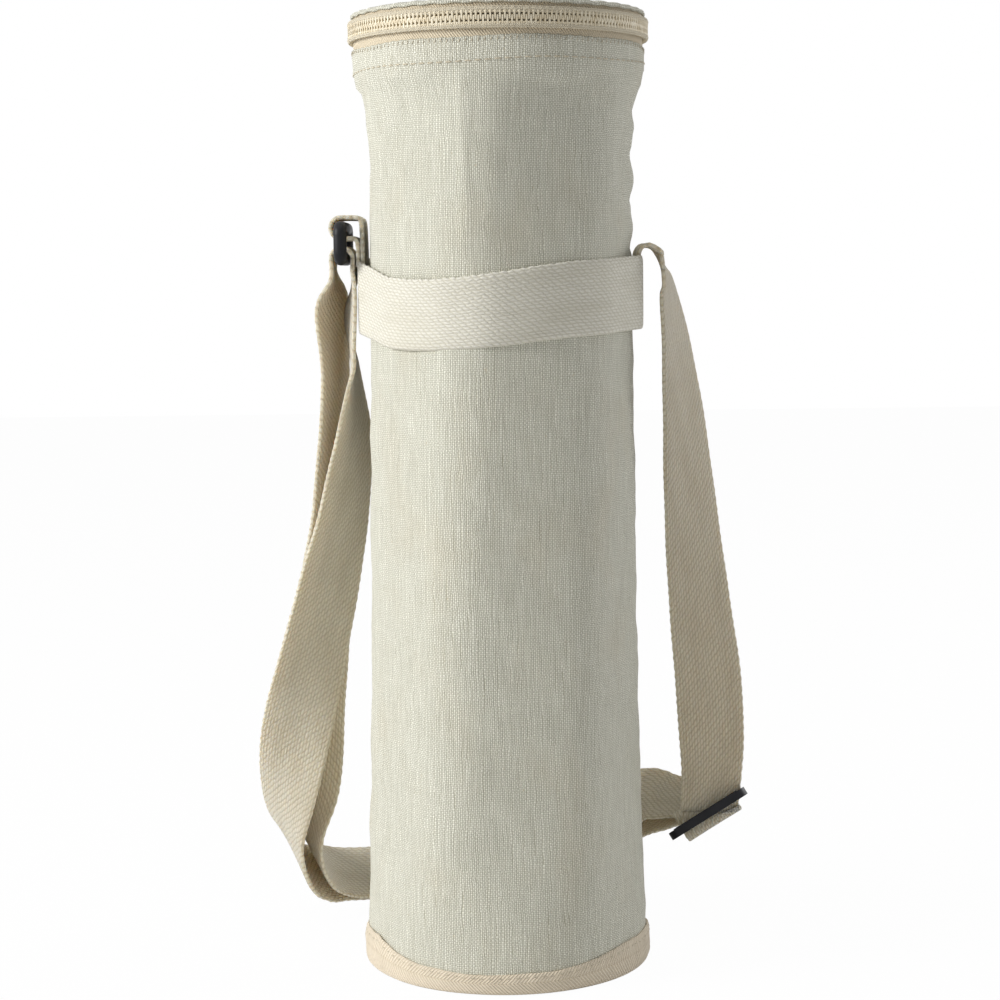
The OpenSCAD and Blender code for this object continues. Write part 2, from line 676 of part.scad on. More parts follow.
short_run = [
    [-ring_x - turn_r - web_t / 2, anchor_y, ring_low_z - turn_gap, 0, 1, 0, 1],
    side(-1, 12.5, 5.5, high(0.934), [0.38, 0.92, -0.05], 1),
    side(-1, 12.2, 10, high(0.834), [0.3, 0.95, -0.08], 1),
    side(-1, 13.3, 16, high(0.726), [0.38, 0.92, -0.08], 1),
    side(-1, 14.6, 20.5, high(0.631), [0.52, 0.85, -0.08], 1),
    side(-1, 17.1, 24.2, high(0.544), [0.66, 0.74, -0.1], 1),
    side(-1, 21.1, 28.4, high(0.427), [0.8, 0.58, -0.12], 1),
    side(-1, 24.5, 32, high(0.311), [0.84, 0.4, -0.14], 1),
    side(-1, 26.5, 35, 52.2 * lay, [0.78, -0.15, -0.2], 1),
    side(-1, 26.9, 38.5, 36 * lay, [0.55, -0.78, -0.18], 1),
    side(-1, 25.8, 43, 25.8 * lay, [0.32, -0.93, -0.12], 1),
    side(-1, 23.5, 48.5, 18.2 * lay, [0.18, -0.95, -0.18], 1),
    side(-1, 20, 54, 13.1 * lay, [0.1, -0.92, -0.32], 1),
    side(-1, 13.9, 58, 10.6 * lay, [0.04, -0.87, -0.48], 1),
    rear(-1.073, 15.1, 10, [0, -0.83, -0.55], 1),
    rear(-0.558, 17.5, 12.2, [0, -0.83, -0.55], 1),
    rear(0, 16.9, 18.5, [0, -0.82, -0.57], 1),
    rear(0.558, 12.5, 30.8, [0, -0.8, -0.6], 1),
    rear(1.07, 5.2, 42.5, [-0.1, -0.76, -0.64], 1),
    by_glide([-13.2, 23.5, 2.6], [-0.38, -0.7, -0.6], 0.96),
    by_glide([-5, 18, 3], [-0.72, -0.42, -0.55], 0.88),
    by_glide([-2.2, 15.2, 2.2], [-0.82, -0.1, -0.54], 0.88),
    on_glide(tail_end_y + thread_gap, tail_z + 1.5 * web_t, -glide_axis_x)];

route_steps = 3;

function unit(v) = v / norm(v);
function at(rows, i) = rows[max(0, min(len(rows) - 1, i))];
function between(a, b, c, d, t) = (2 * b + (c - a) * t + (2 * a - 5 * b + 4 * c - d) * t * t
    + (3 * b - a - 3 * c + d) * t * t * t) / 2;
function smooth(rows) = [for (i = [0:len(rows) - 2], k = [0:route_steps - 1])
    between(at(rows, i - 1), rows[i], rows[i + 1], at(rows, i + 2), k / route_steps),
    rows[len(rows) - 1]];
function middle(s) = [s[0], s[1], s[2]];
function across(s) = unit([s[3], s[4], s[5]]);

// The webbing between two smoothed stations, as one closed skin of triangles
module webbing(rows, first, last) {
    s = smooth(rows);
    corners = [for (i = [first:last]) let (w = across(s[i]) * s[i][6] * web_w / 2,
        along = unit(middle(at(s, i + 1)) - middle(at(s, i - 1))),
        n = unit(cross(along, w)) * web_t / 2)
        each [middle(s[i]) - w - n, middle(s[i]) + w - n, middle(s[i]) + w + n, middle(s[i]) - w + n]];
    last_ring = 4 * (last - first);
    walls = [for (i = [0:last - first - 1], k = [0:3]) let (a = 4 * i + k, b = 4 * i + (k + 1) % 4)
        each [[a, b, b + 4], [a, b + 4, a + 4]]];
    ends = [[0, 2, 1], [0, 3, 2], [last_ring, last_ring + 1, last_ring + 2],
        [last_ring, last_ring + 2, last_ring + 3]];
    color(webbing_colour) polyhedron(corners, concat(walls, ends));
}

right_split = 7 * route_steps;
right_end = route_steps * (len(right_run) - 1);
long_split = 15 * route_steps;
long_end = route_steps * (len(long_run) - 1);
short_split = 14 * route_steps;
short_end = route_steps * (len(short_run) - 1);

module strap_right_upper() webbing(right_run, 0, right_split);
module strap_right_lower() webbing(right_run, right_split, right_end);
module strap_left_front() webbing(long_run, 0, long_split);
module strap_long_back() webbing(long_run, long_split, long_end);
module strap_left_rear() webbing(short_run, 0, short_split);
module strap_short_back() webbing(short_run, short_split, short_end);

outer_shell();
foam_wall();
liner_wall();
base_cover();
base_foam();
base_liner();
base_binding();
zip_tape_lower();
zip_coil_lower();
lid_hinge_strip();
band_webbing();
ring_loop_root();
strap_root();
lid_cover();
lid_foam();
lid_liner();
zip_tape_upper();
zip_coil_upper();
zip_slider();
zip_pull();
ring_loop();
strap_ring();
strap_ring_turn();
strap_left_front();
strap_left_rear();
strap_long_back();
strap_short_back();
strap_right_upper();
strap_right_lower();
strap_glide_pass();
strap_end_fold();
tri_glide();
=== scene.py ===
import math

import bmesh
import bpy
import numpy as np
from mathutils import Euler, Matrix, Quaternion, Vector


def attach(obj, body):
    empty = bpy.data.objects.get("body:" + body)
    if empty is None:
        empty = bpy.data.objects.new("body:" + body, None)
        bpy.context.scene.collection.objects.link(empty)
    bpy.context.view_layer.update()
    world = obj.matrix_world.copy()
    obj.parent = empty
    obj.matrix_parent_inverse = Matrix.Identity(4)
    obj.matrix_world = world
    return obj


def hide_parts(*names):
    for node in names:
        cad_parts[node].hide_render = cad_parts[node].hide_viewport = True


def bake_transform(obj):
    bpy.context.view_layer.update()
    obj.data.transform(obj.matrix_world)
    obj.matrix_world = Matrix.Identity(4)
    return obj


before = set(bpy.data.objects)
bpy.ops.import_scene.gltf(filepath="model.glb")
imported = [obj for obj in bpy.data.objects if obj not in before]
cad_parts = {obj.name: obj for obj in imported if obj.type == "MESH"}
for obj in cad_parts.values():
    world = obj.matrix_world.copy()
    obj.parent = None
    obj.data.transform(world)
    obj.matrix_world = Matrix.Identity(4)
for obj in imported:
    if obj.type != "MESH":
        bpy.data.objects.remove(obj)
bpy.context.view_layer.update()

# Lengths below are in mm where a name or comment doesn't say otherwise; MM turns them to metres.
MM = 0.001

# ---------------------------------------------------------------- camera
# The photograph's eye stands 766 mm in front of the tube's middle and 237 mm above the floor.
EYE = (0.0, -0.766, 0.237)
LOOK_DOWN, LOOK_ASIDE = 5.85, 0.0765
# It is held 0.65 degrees off level: the carrier's mouth stands left of its foot in the picture.
ROLL = -0.65
camera_data = bpy.data.cameras.new("camera")
camera_data.sensor_width = 36.0
camera_data.lens = 80.9
camera = bpy.data.objects.new("camera", camera_data)
camera.location = EYE
camera.rotation_mode = "QUATERNION"
aim = Euler((math.radians(90 - LOOK_DOWN), 0.0, math.radians(LOOK_ASIDE))).to_quaternion()
camera.rotation_quaternion = aim @ Quaternion((0, 0, 1), math.radians(ROLL))
bpy.context.scene.collection.objects.link(camera)
bpy.context.scene.camera = camera


# ---------------------------------------------------------------- node helpers
class Graph:
    """Short calls that add nodes to a tree and give back their output sockets."""

    def __init__(self, tree):
        self.tree = tree

    def find(self, kind):
        return next(n for n in self.tree.nodes if n.type == kind)

    def feed(self, target, value):
        """Links a socket to the target, or sets the target to a plain value."""
        if isinstance(value, bpy.types.NodeSocket):
            self.tree.links.new(value, target)
        else:
            target.default_value = value

    def calc(self, operation, a, b=0.0, c=0.0):
        node = self.tree.nodes.new("ShaderNodeMath")
        node.operation = operation
        for k, value in enumerate((a, b, c)):
            self.feed(node.inputs[k], value)
        return node.outputs[0]

    def add(self, a, b):
        return self.calc("ADD", a, b)

    def mul(self, a, b):
        return self.calc("MULTIPLY", a, b)

    def mad(self, a, b, c):
        """a times b, plus c."""
        return self.calc("MULTIPLY_ADD", a, b, c)

    def sine(self, value, rate):
        return self.calc("SINE", self.mul(value, rate))

    def power(self, value, exponent):
        return self.calc("POWER", value, exponent)

    def mix(self, factor, a, b):
        node = self.tree.nodes.new("ShaderNodeMix")
        node.data_type = "RGBA"
        for key, value in (("Factor", factor), ("A", a), ("B", b)):
            self.feed(node.inputs[key], value)
        return node.outputs["Result"]

    def span(self, value, low, high):
        """value, read from low to high, as 0 to 1 with soft ends."""
        node = self.tree.nodes.new("ShaderNodeMapRange")
        node.interpolation_type = "SMOOTHSTEP"
        self.feed(node.inputs["Value"], value)
        node.inputs["From Min"].default_value = low
        node.inputs["From Max"].default_value = high
        return node.outputs["Result"]

    def noise(self, vector, scale, detail, rough=0.5):
        node = self.tree.nodes.new("ShaderNodeTexNoise")
        self.tree.links.new(vector, node.inputs["Vector"])
        for key, value in (("Scale", scale), ("Detail", detail), ("Roughness", rough)):
            node.inputs[key].default_value = value
        return node.outputs["Fac"]

    def cloth_noise(self, u, v, per_u, per_v, layer=0.0, detail=2.0):
        """Noise over the cloth, with so many grains a millimetre each way; each layer differs."""
        node = self.tree.nodes.new("ShaderNodeCombineXYZ")
        for k, value in enumerate((self.mul(u, per_u), self.mul(v, per_v), layer)):
            self.feed(node.inputs[k], value)
        return self.noise(node.outputs[0], 1.0, detail)

    def uv_mm(self):
        """The two coordinates of the piece's cloth, in millimetres."""
        node = self.tree.nodes.new("ShaderNodeUVMap")
        node.uv_map = "cloth"
        parts = self.tree.nodes.new("ShaderNodeSeparateXYZ")
        self.tree.links.new(node.outputs["UV"], parts.inputs[0])
        return parts.outputs[0], parts.outputs[1]


class Surface(Graph):
    """A material with one Principled shader."""

    def __init__(self, name):
        self.material = bpy.data.materials.new(name)
        self.material.use_nodes = True
        super().__init__(self.material.node_tree)
        self.shader = self.find("BSDF_PRINCIPLED")

    def set(self, **values):
        """Plain values on the shader's own sockets, with _ for a space in a socket's name."""
        for key, value in values.items():
            self.shader.inputs[key.replace("_", " ")].default_value = value

    def woven(self, roughness=0.9):
        """The dull finish that every cloth and thread shares."""
        self.set(Roughness=roughness, Specular_IOR_Level=0.2, Sheen_Weight=0.25, Sheen_Roughness=0.5)

    def finish(self, colour, height, depth, strength):
        """Sets the colour, and a bump of that depth in metres."""
        self.tree.links.new(colour, self.shader.inputs["Base Color"])
        node = self.tree.nodes.new("ShaderNodeBump")
        node.inputs["Distance"].default_value = depth
        node.inputs["Strength"].default_value = strength
        self.tree.links.new(height, node.inputs["Height"])
        self.tree.links.new(node.outputs["Normal"], self.shader.inputs["Normal"])
        return self.material


def rgb(r, g, b):
    """An sRGB colour of 0 to 255 as the linear colour that a socket takes."""
    out = []
    for value in (r, g, b):
        value /= 255.0
        out.append(value / 12.92 if value <= 0.04045 else ((value + 0.055) / 1.055) ** 2.4)
    return (*out, 1.0)


# ---------------------------------------------------------------- materials
def linen_material(name, light, dark, fleck):
    """Plain weave of uneven threads, with slubs along both directions."""
    pitch = 0.62
    s = Surface(name)
    s.woven()
    u, v = s.uv_mm()
    wander = s.cloth_noise(u, v, 0.13, 0.13)
    jitter_u = s.cloth_noise(u, v, 0.9, 0.05, 21.0, 1.0)
    jitter_v = s.cloth_noise(u, v, 0.12, 0.5, 33.0, 1.0)
    u = s.add(s.mad(wander, 1.2, u), s.mul(jitter_u, 0.9))
    v = s.add(s.mad(wander, 1.1, v), s.mul(jitter_v, 0.5))
    sine_u, sine_v = s.sine(u, math.pi / pitch), s.sine(v, math.pi / pitch)
    over = s.span(s.mul(sine_u, sine_v), -0.2, 0.2)
    ridge_u, ridge_v = s.calc("ABSOLUTE", sine_u), s.calc("ABSOLUTE", sine_v)
    # The warp stands prouder than the weft
    warp = s.mul(s.power(ridge_u, 0.7), s.mad(ridge_v, 0.38, 0.68))
    weft = s.mul(s.power(ridge_v, 0.8), s.mad(ridge_u, 0.72, 0.06))
    weave = s.add(s.mul(over, warp), s.mul(s.calc("SUBTRACT", 1.0, over), weft))
    long_v = s.cloth_noise(u, v, 1.3, 0.05, 0.0, 3.0)
    long_u = s.cloth_noise(u, v, 0.06, 1.3, 7.0, 3.0)
    slub = s.add(s.span(long_v, 0.6, 0.82), s.mul(s.span(long_u, 0.62, 0.82), 0.8))
    patch = s.cloth_noise(u, v, 0.05, 0.03, 3.0, 4.0)
    fine = s.cloth_noise(u, v, 1.6, 1.6, 17.0, 3.0)
    specks = s.cloth_noise(u, v, 0.9, 0.5, 11.0, 2.0)
    streak = s.mad(long_v, 0.8, s.mul(long_u, 0.2))
    grain = s.add(s.mul(s.span(streak, 0.3, 0.7), 0.14), s.mul(fine, 0.24))
    colour = s.mix(s.add(s.mul(s.span(weave, 0.02, 0.9), 0.72), grain), dark, light)
    colour = s.mix(s.mul(s.span(specks, 0.68, 0.8), 0.45), colour, fleck)
    colour = s.mix(s.mul(s.span(patch, 0.45, 0.75), 0.14), colour, fleck)
    height = s.add(s.mad(slub, 0.45, weave), s.mul(fine, 0.35))
    return s.finish(colour, height, 0.00026, 0.9)


def webbing_material(name, light, dark, depth, through=0.0):
    """Coarse webbing: columns of long floats along the strap, each column half a float on.

    through is the share of the light that passes into the threads.
    """
    column, float_l = 1.08, 2.4
    s = Surface(name)
    s.woven()
    s.set(Subsurface_Weight=through, Subsurface_Radius=(1.0, 0.82, 0.6), Subsurface_Scale=0.004)
    u, v = s.uv_mm()
    sway = s.cloth_noise(u, v, 0.35, 0.25)
    shift = s.cloth_noise(u, v, 0.5, 0.12, 9.0, 1.0)
    v = s.mad(sway, 1.8, v)
    u = s.mad(shift, 0.6, u)
    cell = s.calc("DIVIDE", u, column)
    across = s.calc("FRACT", cell)
    odd = s.calc("FLOORED_MODULO", s.calc("FLOOR", cell), 2.0)
    lean = s.mad(across, 0.42, s.mul(odd, 0.5))
    along = s.calc("FRACT", s.add(s.calc("DIVIDE", v, float_l), lean))
    body = s.mul(s.power(s.sine(across, math.pi), 0.8), s.power(s.sine(along, math.pi), 0.8))
    fibre = s.cloth_noise(u, v, 4.0, 1.2, 0.0, 3.0)
    fuzz = s.cloth_noise(u, v, 1.1, 1.1, 4.0, 4.0)
    patch = s.cloth_noise(u, v, 0.15, 0.04, 5.0, 3.0)
    height = s.add(s.mad(fibre, 0.5, body), s.mul(fuzz, 0.6))
    hair = s.add(s.mul(fibre, 0.3), s.mul(fuzz, 0.35))
    colour = s.mix(s.add(s.mul(s.span(body, 0.0, 0.8), 0.5), hair), dark, light)
    colour = s.mix(s.mul(s.span(patch, 0.4, 0.75), 0.25), colour, dark)
    return s.finish(colour, height, depth, 1.0)


def twill_material(name, light, dark, pitch, stripe=0.0):
    """Twill lines at a slant; with a stripe width they turn back and forth as herringbone."""
    s = Surface(name)
    s.woven()
    u, v = s.uv_mm()
    if stripe:
        zig = s.calc("PINGPONG", v, stripe)
        slant = s.mad(zig, 0.9, u)
        off_middle = s.calc("ABSOLUTE", s.calc("SUBTRACT", zig, stripe / 2))
        fold = s.span(off_middle, stripe * 0.38, stripe * 0.5)
    else:
        slant = s.add(u, s.mul(v, 0.8))
    rib = s.mad(s.sine(slant, 2 * math.pi / pitch), 0.5, 0.5)
    fibre = s.cloth_noise(u, v, 2.5, 2.5, 0.0, 3.0)
    patch = s.cloth_noise(u, v, 0.08, 0.08, 2.0, 3.0)
    tone = s.mad(rib, 0.6, s.mul(fibre, 0.5))
    if stripe:
        tone = s.mul(tone, s.mad(fold, -0.35, 1.0))
    colour = s.mix(tone, dark, light)
    colour = s.mix(s.mul(s.span(patch, 0.45, 0.7), 0.2), colour, dark)
    return s.finish(colour, s.mad(fibre, 0.4, rib), 0.00022, 0.9)


def thread_material(name, light, dark):
    """Twisted thread, for stitches and cords."""
    lay = 0.7
    s = Surface(name)
    s.woven(0.8)
    u, v = s.uv_mm()
    twist = s.sine(s.add(u, v), 2 * math.pi / lay)
    return s.finish(s.mix(s.mad(twist, 0.3, 0.6), dark, light), twist, 0.00012, 0.8)


def mottled_material(name, base, second, roughness, scale, depth, **settings):
    """A solid material with slight mottling, in the object's own coordinates."""
    s = Surface(name)
    s.set(**settings)
    place = s.tree.nodes.new("ShaderNodeTexCoord")
    grain = s.noise(place.outputs["Object"], scale, 4.0, 0.6)
    low, high = roughness
    spots = s.span(grain, 0.3, 0.7)
    s.tree.links.new(s.mad(spots, high - low, low), s.shader.inputs["Roughness"])
    return s.finish(s.mix(spots, base, second), grain, depth, 0.6)


LINEN = linen_material("linen", rgb(255, 254, 240), rgb(156, 152, 127), rgb(204, 184, 146))
BAND = webbing_material("band webbing", rgb(242, 239, 228), rgb(200, 194, 172), 0.00022)
STRAP = webbing_material("strap webbing", rgb(232, 225, 208), rgb(176, 163, 136), 0.0004, 0.6)
ZIP_CLOTH = twill_material("zip tape", rgb(238, 226, 202), rgb(200, 184, 154), 1.0)
BINDING = twill_material("herringbone tape", rgb(246, 234, 214), rgb(206, 190, 162), 1.25, 4.4)
THREAD = thread_material("thread", rgb(244, 236, 214), rgb(190, 172, 138))
COIL = mottled_material("nylon coil", rgb(240, 230, 206), rgb(224, 210, 180),
                        (0.45, 0.6), 300.0, 0.00002)
BLACK = mottled_material("moulded black", rgb(22, 23, 28), rgb(14, 15, 19),
                         (0.42, 0.55), 220.0, 0.00004, Specular_IOR_Level=0.25)
ENAMEL = mottled_material("cream enamel", rgb(236, 222, 192), rgb(224, 208, 176),
                          (0.28, 0.4), 200.0, 0.00003, Coat_Weight=0.3)
LINER = mottled_material("coated film", rgb(206, 210, 214), rgb(186, 190, 196),
                         (0.28, 0.5), 60.0, 0.0006)


# ---------------------------------------------------------------- mesh helpers
def polar(a, r):
    """The place at an angle in degrees from the front, towards the right, and a radius."""
    return r * math.sin(math.radians(a)), -r * math.cos(math.radians(a))


def signed(a):
    """An angle in degrees as -180 to 180."""
    return (a + 180.0) % 360.0 - 180.0


def near(a, centre, width):
    """1 at the centre angle, falling away smoothly on both sides."""
    return math.exp(-(signed(a - centre) / width) ** 2)


def ripple(a, waves, shift=0.0):
    """A sine with so many waves round the tube."""
    return math.sin(math.radians(a * waves + shift))


def ramp(distance, length, least=0.0):
    """0, or the least value, up to 1 over a length."""
    return min(1.0, max(least, distance / length))


def lookup(table, x):
    return float(np.interp(x, [p[0] for p in table], [p[1] for p in table]))


def wobble(a, z, seed, scale=1.0):
    """A smooth, repeatable waviness of about one unit, over angle in degrees and height."""
    t = math.radians(a)
    total = 0.0
    for k in range(5):
        around = 1 + (seed * 3 + k * 2) % 7
        up = (0.011 + 0.009 * ((seed + k * 3) % 5)) * scale
        phase = seed * 1.7 + k * 2.3
        total += math.sin(around * t + up * z * 2 * math.pi + phase) / (1 + 0.5 * k)
    return total / 2.2


def finish_mesh(name, verts, faces, uvs, material, body=None):
    """An object from points in metres and faces with one cloth coordinate at each corner."""
    mesh = bpy.data.meshes.new(name)
    mesh.from_pydata([tuple(map(float, p)) for p in verts], [], faces)
    layer = mesh.uv_layers.new(name="cloth")
    flat = np.asarray([corner for face in uvs for corner in face], dtype=float)
    layer.data.foreach_set("uv", flat.ravel())
    mesh.polygons.foreach_set("use_smooth", [True] * len(faces))
    mesh.materials.append(material)
    weld = bmesh.new()
    weld.from_mesh(mesh)
    bmesh.ops.remove_doubles(weld, verts=weld.verts, dist=1e-7)
    bmesh.ops.dissolve_degenerate(weld, edges=weld.edges, dist=1e-7)
    weld.to_mesh(mesh)
    weld.free()
    mesh.validate()
    piece = bpy.data.objects.new(name, mesh)
    bpy.context.scene.collection.objects.link(piece)
    if body:
        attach(piece, body)
    return piece


def revolve(name, profile, material, body, shape=None, steps=288,
            first=90.0, last=450.0, loop=False, flat=None):
    """A profile of (radius, height) swept round the tube, with what lies on its right outside.

    Angles are in degrees from the front, towards the right. shape(a, r, z) may move the points.
    A loop joins the profile's last point to its first. flat is the radius inside which the
    cloth is a flat disc, so that its threads run straight there.
    """
    whole = last - first >= 360.0
    angles = np.linspace(first, last, steps + 1)
    used = angles[:-1] if whole else angles
    rows, cols = len(used), len(profile)
    track = profile + profile[:1] if loop else profile
    rise = np.concatenate([[0], np.cumsum([math.dist(p, q) for p, q in zip(track, track[1:])])])
    middle_r = max(p[0] for p in profile)
    points = np.zeros((rows, cols, 3))
    for i, a in enumerate(used):
        for j, (r, z) in enumerate(profile):
            if shape:
                r, z = shape(a, r, z)
            points[i, j] = (*polar(a, r), z)
    faces, uvs = [], []
    for i in range(rows if whole else rows - 1):
        n = (i + 1) % rows
        for j, (start, end) in enumerate(zip(track, track[1:])):
            k = (j + 1) % cols
            corners = [(i, j, 0, 0), (n, j, 1, 0), (n, k, 1, 1), (i, k, 0, 1)]
            level = abs(start[1] - end[1]) < abs(start[0] - end[0])
            if flat and level and max(start[0], end[0]) <= flat:
                uvs.append(tuple((points[p, q][0], points[p, q][1]) for p, q, _, _ in corners))
            else:
                uvs.append(tuple((math.radians(angles[i + s]) * middle_r, rise[j + t])
                                 for _, _, s, t in corners))
            faces.append(tuple(p * cols + q for p, q, _, _ in corners))
    if loop and not whole:
        ends = ((0, range(cols)), ((rows - 1) * cols, range(cols - 1, -1, -1)))
        for start, order in ends:
            faces.append(tuple(start + q for q in order))
            uvs.append(tuple((profile[q][0], profile[q][1]) for q in order))
    return finish_mesh(name, points.reshape(-1, 3) * MM, faces, uvs, material, body)


# ---------------------------------------------------------------- webbing and stitches
WEB_W, WEB_T = 25.0, 1.5


def catmull(rows, steps):
    """A smooth curve through the rows, with so many steps between each two."""
    out = []
    for i in range(len(rows) - 1):
        a, b, c, d = rows[max(i - 1, 0)], rows[i], rows[i + 1], rows[min(i + 2, len(rows) - 1)]
        for k in range(steps):
            t = k / steps
            out.append((2 * b + (c - a) * t + (2 * a - 5 * b + 4 * c - d) * t * t
                        + (3 * b - a - 3 * c + d) * t ** 3) / 2)
    out.append(rows[-1])
    return np.array(out)


def even(rows, step):
    """The smoothed rows, set out evenly along their middle, and each one's distance along it."""
    fine = catmull(np.array(rows, dtype=float), 24)
    gaps = np.linalg.norm(np.diff(fine[:, :3], axis=0), axis=1)
    along = np.concatenate([[0], np.cumsum(gaps)])
    count = max(2, int(round(along[-1] / step)))
    places = np.linspace(0, along[-1], count + 1)
    return np.column_stack([np.interp(places, along, fine[:, k]) for k in range(7)]), places


# The webbing's outline across, as shares of half its width and half its thickness
SECTION = [(s * x, s * y) for s in (1, -1) for x, y in
           ((-1.0, -0.2), (-0.985, -0.75), (-0.95, -1.0), (-0.6, -1.0), (-0.2, -1.0),
            (0.2, -1.0), (0.6, -1.0), (0.95, -1.0), (0.985, -0.75), (1.0, -0.2))]


def ribbon(name, rows, places, body=None, seed=0.0):
    """Strap webbing along evenly set rows of x, y, z, the direction across and the width.

    Its edges show the weft's turns, and its face lifts a little along its length.
    """
    edge_turn, edge_depth = 3.4, 0.14
    middle = rows[:, :3]
    tangent = np.gradient(middle, axis=0)
    tangent /= np.linalg.norm(tangent, axis=1)[:, None]
    side = rows[:, 3:6] / np.linalg.norm(rows[:, 3:6], axis=1)[:, None]
    side -= tangent * (side * tangent).sum(1)[:, None]
    side /= np.linalg.norm(side, axis=1)[:, None]
    normal = np.cross(tangent, side)
    n, m = len(rows), len(SECTION)
    points = np.zeros((n, m, 3))
    for i, s in enumerate(places):
        edge = edge_depth * math.sin(2 * math.pi * s / edge_turn)
        for j, (x, y) in enumerate(SECTION):
            half = rows[i, 6] / 2 + (edge if x > 0 else -edge) * (abs(x) > 0.9)
            lift = 0.12 * math.sin(s * 0.21 + seed) * x * x
            points[i, j] = middle[i] + side[i] * x * half + normal[i] * (y * WEB_T / 2 + lift)
    faces, uvs = [], []
    widths = [x * WEB_W / 2 for x, y in SECTION]
    for i in range(n - 1):
        for j in range(m):
            k = (j + 1) % m
            corners = ((i, j), (i, k), (i + 1, k), (i + 1, j))
            faces.append(tuple(p * m + q for p, q in corners))
            uvs.append(tuple((widths[q], places[p]) for p, q in corners))
    for p, order in ((0, range(m - 1, -1, -1)), (n - 1, range(m))):
        faces.append(tuple(p * m + q for q in order))
        uvs.append(tuple((widths[q], places[p]) for q in order))
    return finish_mesh(name, points.reshape(-1, 3) * MM, faces, uvs, STRAP, body)


def stitches(name, run, body, length, width, depth, material=None):
    """Short threads. run is a list of (middle, direction, outward)."""
    verts, faces, uvs = [], [], []
    ring = 6
    for middle, along, out in run:
        along = np.array(along, dtype=float) / np.linalg.norm(along)
        out = np.array(out, dtype=float) / np.linalg.norm(out)
        beside = np.cross(along, out)
        start = len(verts)
        for u, size in ((-1.0, 0.25), (-0.7, 0.85), (0.0, 1.0), (0.7, 0.85), (1.0, 0.25)):
            sink = depth * (0.9 * u * u)
            for k in range(ring):
                t = 2 * math.pi * k / ring
                verts.append((np.array(middle) + along * u * length / 2
                              + beside * math.cos(t) * size * width / 2
                              + out * (math.sin(t) * size * depth / 2 - sink)) * MM)
        for i in range(4):
            for k in range(ring):
                a, b = start + i * ring + k, start + i * ring + (k + 1) % ring
                faces.append((a, b, b + ring, a + ring))
                x, y = k * 0.3, i * 0.5
                uvs.append(((x, y), (x + 0.3, y), (x + 0.3, y + 0.5), (x, y + 0.5)))
        for first, order in ((start, range(ring - 1, -1, -1)), (start + 4 * ring, range(ring))):
            faces.append(tuple(first + k for k in order))
            uvs.append(((0.0, 0.0),) * ring)
    return finish_mesh(name, verts, faces, uvs, material or THREAD, body)


# ---------------------------------------------------------------- the strap's route
# Both sewn ends stand at this depth behind the tube's middle
ANCHOR_Y = 4.0
# The adjuster's middle, and its directions along its bars, along the strap and up from its face
GLIDE = np.array((72.2, 22.0, 42.8))
GLIDE_LONG = np.array((0.848, 0.0, 0.53))
GLIDE_RUN = np.array((0.128, 0.97, -0.205))
GLIDE_UP = np.cross(GLIDE_LONG, GLIDE_RUN)
# The ring's place, the heights of its two bars, and the strap's radius round the lower one
RING_X, RING_TOP, RING_LOW = 53.3, 251.6, 241.2
RING_TURN_R = 3.7


def row(x, y, z, across, width=WEB_W):
    return [x, y, z, *across, width]


def at_glide(run, up, width=22.0, shift=0.0):
    middle = GLIDE + GLIDE_RUN * run + GLIDE_UP * up + GLIDE_LONG * shift
    return row(*middle, GLIDE_LONG, width)


RIGHT_ROOT = [row(x, 4, z, (0, 1, 0)) for x, z in (
    (45.75, 217), (45.75, 225), (45.8, 233), (46.1, 239), (46.6, 242.3), (47.7, 244.1))]
RIGHT_ROOT += [row(49.5, 4, 244.7, (-0.05, 1, 0))]
RIGHT_RUN = [
    row(51.3, 4.0, 244.15, (0, 1, 0)), row(53.5, 4.5, 242.2, (0, 1, 0)),
    row(55.9, 5.3, 235.2, (0.12, 0.99, 0)), row(57.4, 6.3, 228.2, (0.27, 0.96, 0)),
    row(60.7, 8, 205.3, (0.47, 0.88, 0)), row(63.4, 10.5, 177.3, (0.65, 0.76, 0)),
    row(65.5, 12.5, 151.2, (0.77, 0.64, 0)), row(68.3, 15, 123, (0.87, 0.49, 0)),
    row(71.7, 17, 93.1, (0.94, 0.3, 0.08)), row(73.0, 18, 72, (0.93, 0.15, 0.22), 23.6),
    row(73.0, 18, 58, (0.88, 0.05, 0.4), 21.5)]
THROUGH = [at_glide(-4.45, 0.6, 20.5, 1.0)] + [at_glide(u, v) for u, v in (
    (-4.45, -2.6), (-3.6, -3.9), (-2, -4.15), (2, -4.15), (3.6, -3.9), (4.45, -2.6),
    (4.45, -0.25), (5.25, 1.7), (7.2, 2.5), (11, 2.5))]
